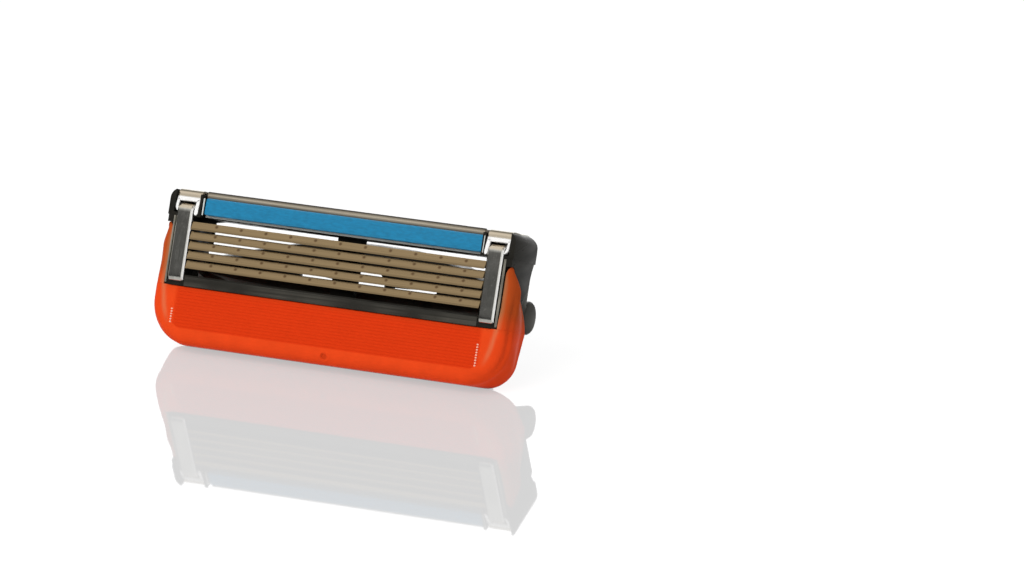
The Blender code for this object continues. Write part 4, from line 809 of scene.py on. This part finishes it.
def black_plastic(name, colour):
    """Glossy moulded plastic: a soft vertical flow in its gloss and a fine grain."""
    finish, tree, shader = new_material(name)
    flow = noise(tree, 330.0, 3.0, (1.6, 0.45, 1.6))
    base = mix(tree, spread(tree, flow, 0.0, 1.0), shade(colour, 0.75), shade(colour, 1.5))
    tree.links.new(base, shader.inputs["Base Color"])
    tree.links.new(spread(tree, flow, 0.42, 0.22), shader.inputs["Roughness"])
    shader.inputs["Specular IOR Level"].default_value = 0.06
    bump(tree, shader, noise(tree, 6000.0, 4.0), 0.08, 1.2e-5)
    return finish


def ribbed_plastic(colour):
    """The same plastic with fine ribs along its length, dulled to grey."""
    finish, tree, shader = new_material("black_plastic_ribbed")
    lines = noise(tree, 5200.0, 3.0, (0.01, 1.0, 1.0))
    base = mix(tree, spread(tree, lines, 0.0, 1.0), shade(colour, 1.6), shade(colour, 4.6))
    patch = spread(tree, noise(tree, 150.0, 2.0), 0.0, 1.0, 0.4, 0.62)
    base = mix(tree, patch, base, shade(colour, 1.4))
    tree.links.new(base, shader.inputs["Base Color"])
    tree.links.new(spread(tree, lines, 0.35, 0.55), shader.inputs["Roughness"])
    shader.inputs["Specular IOR Level"].default_value = 0.2
    bump(tree, shader, lines, 0.3, 2e-5)
    return finish


def blade_steel(colour):
    """Coated blade steel: long grinding lines and weld spots darker than the steel."""
    finish, tree, shader = new_material("blade_steel_coated")
    lines = noise(tree, 7000.0, 4.0, (0.02, 1.0, 1.0))
    base = mix(tree, spread(tree, lines, 0.0, 1.0), shade(colour, 0.86), shade(colour, 1.12))
    base = mix(tree, spread(tree, named(tree, "spot"), 0.0, 0.75, 0.0, 1.0), base, (0.10, 0.05, 0.022, 1.0))
    tree.links.new(base, shader.inputs["Base Color"])
    shader.inputs["Metallic"].default_value = 1.0
    tree.links.new(spread(tree, lines, 0.24, 0.38), shader.inputs["Roughness"])
    bump(tree, shader, lines, 0.05, 5e-6)
    return finish


def sheet_steel(name, colour, dull=0.12):
    """Sheet steel: faint rolling lines along the sheet, small specks, and painted reflections where its points say so:
    beige and white highlights and a near-black reflection.
    """
    finish, tree, shader = new_material(name)
    lines = noise(tree, 4500.0, 3.0, (1.0, 0.04, 0.04))
    base = mix(tree, spread(tree, lines, 0.0, 1.0), shade(colour, 0.9), shade(colour, 1.06))
    cloud = spread(tree, noise(tree, 750.0, 3.0, (1.0, 0.4, 0.4)), 0.0, 0.6, 0.42, 0.62)
    base = mix(tree, cloud, base, shade(colour, 0.62))
    speck = spread(tree, noise(tree, 5200.0, 1.0), 0.0, 0.7, 0.68, 0.76)
    base = mix(tree, speck, base, shade(colour, 1.5))
    # Painted reflections: beige and white highlights and a near-black reflection, where the points' values say so
    base = mix(tree, named(tree, "warm_glint"), base, (0.62, 0.53, 0.4, 1.0))
    base = mix(tree, named(tree, "white_glint"), base, (0.97, 0.96, 0.94, 1.0))
    base = mix(tree, named(tree, "dark_reflection"), base, (0.11, 0.095, 0.065, 1.0))
    tree.links.new(base, shader.inputs["Base Color"])
    tree.links.new(spread(tree, named(tree, "white_glint"), 1.0, 0.4, 0.0, 1.0), shader.inputs["Metallic"])
    tree.links.new(spread(tree, noise(tree, 1400.0), dull, dull + 0.12), shader.inputs["Roughness"])
    bump(tree, shader, lines, 0.04, 5e-6)
    return finish


def rolled_steel(colour):
    """The carrier's rolled sheet, with painted shade as on a rounded bar: lighter along the middle of its front and
    darker towards both edges.
    """
    finish, tree, shader = new_material("carrier_steel_rolled")
    lines = noise(tree, 4500.0, 3.0, (0.02, 1.0, 1.0))
    base = mix(tree, spread(tree, lines, 0.0, 1.0), shade(colour, 0.85), shade(colour, 1.1))
    row = row_of(tree)
    low, middle, high = CARRIER_SHADE_ROWS
    # Painted shade: the front darkened towards both edges, as on a rounded bar
    base = mix(tree, spread(tree, row, 1.0, 0.0, low, middle), base, shade(colour, 0.1))
    base = mix(tree, spread(tree, row, 0.0, 1.0, middle, high), base, shade(colour, 0.05))
    tree.links.new(base, shader.inputs["Base Color"])
    shader.inputs["Metallic"].default_value = 0.45
    tree.links.new(spread(tree, lines, 0.3, 0.5), shader.inputs["Roughness"])
    shader.inputs["Specular IOR Level"].default_value = 0.2
    bump(tree, shader, lines, 0.05, 5e-6)
    return finish


def glide_strip(colour):
    """Extruded polymer: fine pale specks and a soft grain along its length."""
    finish, tree, shader = new_material("blue_strip_extruded")
    grain = noise(tree, 5200.0, 5.0, (0.3, 1.0, 1.0))
    base = mix(tree, spread(tree, grain, 0.0, 1.0), shade(colour, 0.82), shade(colour, 1.15))
    tree.links.new(base, shader.inputs["Base Color"])
    tree.links.new(spread(tree, grain, 0.4, 0.58), shader.inputs["Roughness"])
    bump(tree, shader, grain, 0.2, 1.5e-5)
    return finish


def pale_backing(colour):
    """Moulded pale plastic with a fine grain."""
    finish, tree, shader = new_material("pale_backing_moulded")
    grain = noise(tree, 3000.0, 3.0)
    tree.links.new(mix(tree, grain, shade(colour, 0.9), shade(colour, 1.1)), shader.inputs["Base Color"])
    tree.links.new(spread(tree, grain, 0.35, 0.5), shader.inputs["Roughness"])
    bump(tree, shader, grain, 0.1, 1e-5)
    return finish


def dress(node, finish, edge, slot):
    """A solid kept as it is: its triangles merged into faces, its edges rounded, and its finish put on."""
    piece = frame["nodes"][node]
    piece.data.materials.clear()
    piece.data.materials.append(finish)
    weld = piece.modifiers.new("merge", "WELD")
    weld.merge_threshold = 1e-6
    flat = piece.modifiers.new("faces", "DECIMATE")
    flat.decimate_type = "DISSOLVE"
    flat.angle_limit = math.radians(0.6)
    if edge:
        round_off = piece.modifiers.new("edges", "BEVEL")
        round_off.limit_method = "ANGLE"
        round_off.angle_limit = math.radians(32)
        round_off.width = edge * MM
        round_off.segments = 2
        round_off.harden_normals = False
    piece.modifiers.new("smooth", "NODES").node_group = smooth_group()
    return piece


def smooth_group():
    """A node group that shades faces smoothly where they meet at less than 40 degrees."""
    group = bpy.data.node_groups.get("smooth_by_angle")
    if group:
        return group
    group = bpy.data.node_groups.new("smooth_by_angle", "GeometryNodeTree")
    group.interface.new_socket("Geometry", in_out="INPUT", socket_type="NodeSocketGeometry")
    group.interface.new_socket("Geometry", in_out="OUTPUT", socket_type="NodeSocketGeometry")
    start, end = group.nodes.new("NodeGroupInput"), group.nodes.new("NodeGroupOutput")
    angle = group.nodes.new("GeometryNodeInputMeshEdgeAngle")
    below = group.nodes.new("FunctionNodeCompare")
    below.operation = "LESS_EQUAL"
    below.inputs[1].default_value = math.radians(40)
    group.links.new(angle.outputs[0], below.inputs[0])
    faces = group.nodes.new("GeometryNodeSetShadeSmooth")
    edges = group.nodes.new("GeometryNodeSetShadeSmooth")
    edges.domain = "EDGE"
    group.links.new(start.outputs[0], faces.inputs[0])
    group.links.new(faces.outputs[0], edges.inputs[0])
    group.links.new(below.outputs[0], edges.inputs["Shade Smooth"])
    group.links.new(edges.outputs[0], end.inputs[0])
    return group


class RAZOR_OT_guard(bpy.types.Operator):
    """Makes the elastomer guard with its fins, gate mark, side arms and pads."""

    bl_idname = "razor.guard"
    bl_label = "Guard"

    def execute(self, context):
        sizes, colours = context.scene.razor_sizes, context.scene.razor_colours
        shells = [guard_tray(sizes)]
        shells += [guard_arm(side) for side in (-1, 1)]
        shells += [guard_pad(reach) for reach in PADS]
        shells += [guard_bead(x, low + k * BEAD_PITCH) for x, low, count in BEADS for k in range(count)]
        piece = put("guard_moulding", shells, "blade_unit", ["guard"], 50.0)
        piece.data.materials.append(orange_elastomer(colours.orange))
        return {"FINISHED"}


class RAZOR_OT_blades(bpy.types.Operator):
    """Makes the five coated blades with their ground facets and weld spots, and dresses their supports."""

    bl_idname = "razor.blades"
    bl_label = "Blades"

    def execute(self, context):
        sizes, colours = context.scene.razor_sizes, context.scene.razor_colours
        steel = blade_steel(colours.blade)
        bracket = sheet_steel("support_steel_bent", shade(colours.blade, 0.7)[:3])
        for number in range(1, BLADE_COUNT + 1):
            shell = blade_surface(FIRST_EDGE + (number - 1) * BLADE_PITCH, sizes)
            body = f"sprung_blade_{number}"
            piece = put(f"blade_ground_{number}", [shell], body, [f"blade_{number}"], 15.0)
            piece.data.materials.append(steel)
            dress(f"blade_support_{number}", bracket, 0.0, "blade_steel")
        return {"FINISHED"}


class RAZOR_OT_strip(bpy.types.Operator):
    """Makes the glide strip and dresses its backing."""

    bl_idname = "razor.strip"
    bl_label = "Glide strip"

    def execute(self, context):
        colours = context.scene.razor_colours
        piece = put("glide_strip", [strip_surface()], "blade_unit", ["lubricating_strip"])
        piece.data.materials.append(glide_strip(colours.strip))
        pale = pale_backing(colours.backing)
        dress("strip_backing", pale, 0.04, "pale_backing")
        ends = [plate(reach, RIM_ROWS, RIM_DEEP, 0.03) for reach in RIM_ENDS]
        piece = put("strip_rim_ends", ends, "blade_unit", [])
        piece.data.materials.append(pale)
        return {"FINISHED"}


class RAZOR_OT_mouldings(bpy.types.Operator):
    """Rounds and dresses the housing, the connector and the trimmer's comb."""

    bl_idname = "razor.mouldings"
    bl_label = "Mouldings"

    def execute(self, context):
        sizes, colours = context.scene.razor_sizes, context.scene.razor_colours
        black = black_plastic("black_plastic_moulded", colours.black)
        # A lighter copy of the moulded plastic, for the connector
        lighter_black = black_plastic("black_plastic_lighter", shade(colours.black, 2.8)[:3])
        dress("housing", black, sizes.moulded_edge, "black_plastic")
        dress("connector", lighter_black, sizes.moulded_edge, "black_plastic")
        dress("trimmer_comb", black, sizes.sheet_edge, "black_plastic")
        half, low, high = BAR
        shells = [plate((-half, half), (low, high), BAR_DEEP, 0.05)]
        piece = put("ribbed_bar", shells, "blade_unit", [])
        piece.data.materials.append(ribbed_plastic(colours.black))
        half, low, high = SILL
        shells = [plate((-half, half), (low, high), SILL_DEEP, 0.05)] + [gusset(side) for side in (-1, 1)]
        piece = put("sill_and_gussets", shells, "blade_unit", [])
        piece.data.materials.append(black)
        # The rails' bevels in light grey: a painted highlight along the black edges
        piece = put("rail_edge_highlights", [frame_edge(side) for side in (-1, 1)], "blade_unit", [])
        piece.data.materials.append(black_plastic("black_plastic_edge_highlight", shade(colours.black, 15.0)[:3]))
        return {"FINISHED"}


class RAZOR_OT_pressings(bpy.types.Operator):
    """Rounds and dresses the clips, the trimmer's carrier and its blade."""

    bl_idname = "razor.pressings"
    bl_label = "Pressings"

    def execute(self, context):
        sizes, colours = context.scene.razor_sizes, context.scene.razor_colours
        steel = sheet_steel("clip_steel_polished", colours.clip)
        for side, word in ((-1, "left"), (1, "right")):
            piece = put(f"clip_pressed_{word}", clip_shells(side), "blade_unit", [f"clip_{word}"], 30.0)
            piece.data.materials.append(steel)
        dress("trimmer_carrier", rolled_steel(colours.carrier), sizes.sheet_edge, "clip_steel")
        dress("trimmer_blade", sheet_steel("trimmer_steel_ground", colours.clip), 0.0, "clip_steel")
        return {"FINISHED"}


def ray_share(tree):
    """1 for a camera, glossy or transmitted ray."""
    path = add(tree, "ShaderNodeLightPath")
    share = path.outputs["Is Camera Ray"]
    for key in ("Is Glossy Ray", "Is Transmission Ray"):
        node = tree.nodes.new("ShaderNodeMath")
        node.operation = "MAXIMUM"
        tree.links.new(share, node.inputs[0])
        tree.links.new(path.outputs[key], node.inputs[1])
        share = node.outputs[0]
    return share


def mixed(tree, share, first, second):
    """Two shaders mixed by a share."""
    node = tree.nodes.new("ShaderNodeMixShader")
    if isinstance(share, bpy.types.NodeSocket):
        tree.links.new(share, node.inputs[0])
    else:
        node.inputs[0].default_value = share
    tree.links.new(first, node.inputs[1])
    tree.links.new(second, node.inputs[2])
    return node.outputs[0]


def plate_finish(gloss):
    """A glossy white plate: white light of its own, a share of plain white that takes shadow, and a mirror share."""
    finish = bpy.data.materials.new("plate_white_glossy")
    finish.use_nodes = True
    tree = finish.node_tree
    tree.nodes.remove(tree.nodes["Principled BSDF"])
    white = (1.0, 1.0, 1.0, 1.0)
    glow = add(tree, "ShaderNodeEmission", Color=white, Strength=0.72).outputs[0]
    plain = add(tree, "ShaderNodeBsdfDiffuse", Color=(0.9, 0.9, 0.9, 1.0)).outputs[0]
    mirror = add(tree, "ShaderNodeBsdfGlossy", Color=white, Roughness=0.03).outputs[0]
    seen = mixed(tree, gloss, mixed(tree, 0.22, glow, plain), mirror)
    tree.links.new(mixed(tree, ray_share(tree), plain, seen), tree.nodes["Material Output"].inputs["Surface"])
    return finish


def times(tree, first, second):
    """The product of two values."""
    node = tree.nodes.new("ShaderNodeMath")
    node.operation = "MULTIPLY"
    tree.links.new(first, node.inputs[0])
    tree.links.new(second, node.inputs[1])
    return node.outputs[0]


def surroundings(world):
    """White behind the object, above it and to its right, dim in front, and white where the camera sees past it."""
    world.use_nodes = True
    tree = world.node_tree
    tree.nodes.clear()
    way = add(tree, "ShaderNodeTexCoord").outputs["Generated"]
    parts = add(tree, "ShaderNodeSeparateXYZ", Vector=way)
    behind = spread(tree, parts.outputs["Y"], 0.0, 1.0, -0.1, 0.35)
    above = spread(tree, parts.outputs["Z"], 0.0, 1.0, 0.3, 0.85)
    beside = spread(tree, parts.outputs["X"], 0.0, 1.0, 0.55, 0.85)
    most = behind
    for other in (above, beside):
        node = tree.nodes.new("ShaderNodeMath")
        node.operation = "MAXIMUM"
        tree.links.new(most, node.inputs[0])
        tree.links.new(other, node.inputs[1])
        most = node.outputs[0]
    level = spread(tree, most, 0.05, 1.0, 0.0, 1.0)
    path = add(tree, "ShaderNodeLightPath")
    fill = spread(tree, path.outputs["Is Diffuse Ray"], 1.0, 0.5, 0.0, 1.0)
    back = times(tree, spread(tree, parts.outputs["Y"], 0.0, 1.0, 0.6, 0.75), spread(tree, parts.outputs["X"], 1.0, 0.0, -0.15, 0.1))
    back = times(tree, back, spread(tree, path.outputs["Is Diffuse Ray"], BACKDROP, 0.0, 0.0, 1.0))
    extra = tree.nodes.new("ShaderNodeMath")
    tree.links.new(times(tree, level, fill), extra.inputs[0])
    tree.links.new(back, extra.inputs[1])
    level = extra.outputs[0]
    around = add(tree, "ShaderNodeBackground", Color=(1.0, 1.0, 1.0, 1.0), Strength=level).outputs[0]
    white = add(tree, "ShaderNodeBackground", Color=(1.0, 1.0, 1.0, 1.0), Strength=1.0).outputs[0]
    seen = path.outputs["Is Camera Ray"]
    output = tree.nodes.new("ShaderNodeOutputWorld")
    tree.links.new(mixed(tree, seen, around, white), output.inputs["Surface"])


class RAZOR_OT_stage(bpy.types.Operator):
    """Makes the plate, the soft lamp, the surroundings and the camera."""

    bl_idname = "razor.stage"
    bl_label = "Stage"

    def execute(self, context):
        scene = context.scene
        settings = scene.razor_stage
        scene.view_settings.view_transform = "Standard"
        corner = np.array([-1.0, 1.0]) * 3.0
        level = CAD_BOX[0][2]
        x, y = np.meshgrid(corner, corner)
        points = np.stack([x.ravel(), y.ravel(), np.full(4, level)], 1)
        mesh = bpy.data.meshes.new("plate")
        mesh.from_pydata(points.tolist(), [], [[0, 1, 3, 2]])
        plate = bpy.data.objects.new("plate", mesh)
        scene.collection.objects.link(plate)
        mesh.materials.append(plate_finish(settings.gloss))

        lamp = bpy.data.lights.new("key_lamp", "AREA")
        lamp.energy = settings.key
        lamp.shape = "SQUARE"
        lamp.size = 0.5
        lamp_object = bpy.data.objects.new("key_lamp", lamp)
        scene.collection.objects.link(lamp_object)
        way = Vector((-0.25, -0.72, 0.648))
        lamp_object.location = way * 0.7
        lamp_object.visible_glossy = False
        lamp_object.rotation_euler = way.to_track_quat("Z", "Y").to_euler()

        scene.world = bpy.data.worlds.new("surroundings")
        surroundings(scene.world)

        camera = bpy.data.cameras.new("camera")
        camera.lens = settings.lens
        camera.sensor_width = 36.0
        camera.clip_start = 0.01
        camera_object = bpy.data.objects.new("camera", camera)
        scene.collection.objects.link(camera_object)
        turn = Matrix((CAMERA_RIGHT, CAMERA_UP, CAMERA_BACK)).transposed().to_4x4()
        camera_object.matrix_world = Matrix.Translation(CAMERA_FROM + Vector(ORIGIN)) @ turn
        scene.camera = camera_object
        return {"FINISHED"}


class RAZOR_PT_looks(bpy.types.Panel):
    """The cartridge's sizes, colours and making, in the sidebar."""

    bl_idname = "RAZOR_PT_looks"
    bl_label = "Razor cartridge"
    bl_space_type = "VIEW_3D"
    bl_region_type = "UI"
    bl_category = "Razor"

    def draw(self, context):
        scene = context.scene
        for group in (scene.razor_sizes, scene.razor_colours, scene.razor_stage):
            box = self.layout.box()
            for key in group.__annotations__:
                box.prop(group, key)
        for operator in OPERATORS:
            self.layout.operator(operator.bl_idname)


GROUPS = {"razor_sizes": RazorSizes, "razor_colours": RazorColours, "razor_stage": RazorStage}
OPERATORS = (
    RAZOR_OT_guard,
    RAZOR_OT_blades,
    RAZOR_OT_strip,
    RAZOR_OT_mouldings,
    RAZOR_OT_pressings,
    RAZOR_OT_stage,
)


def register():
    for group in GROUPS.values():
        bpy.utils.register_class(group)
    for key, group in GROUPS.items():
        setattr(bpy.types.Scene, key, bpy.props.PointerProperty(type=group))
    for operator in OPERATORS:
        bpy.utils.register_class(operator)
    bpy.utils.register_class(RAZOR_PT_looks)


def unregister():
    bpy.utils.unregister_class(RAZOR_PT_looks)
    for operator in reversed(OPERATORS):
        bpy.utils.unregister_class(operator)
    for key in GROUPS:
        delattr(bpy.types.Scene, key)
    for group in reversed(list(GROUPS.values())):
        bpy.utils.unregister_class(group)


def main():
    register()
    for operator in OPERATORS:
        group, name = operator.bl_idname.split(".")
        getattr(getattr(bpy.ops, group), name)()


if __name__ == "__main__":
    main()
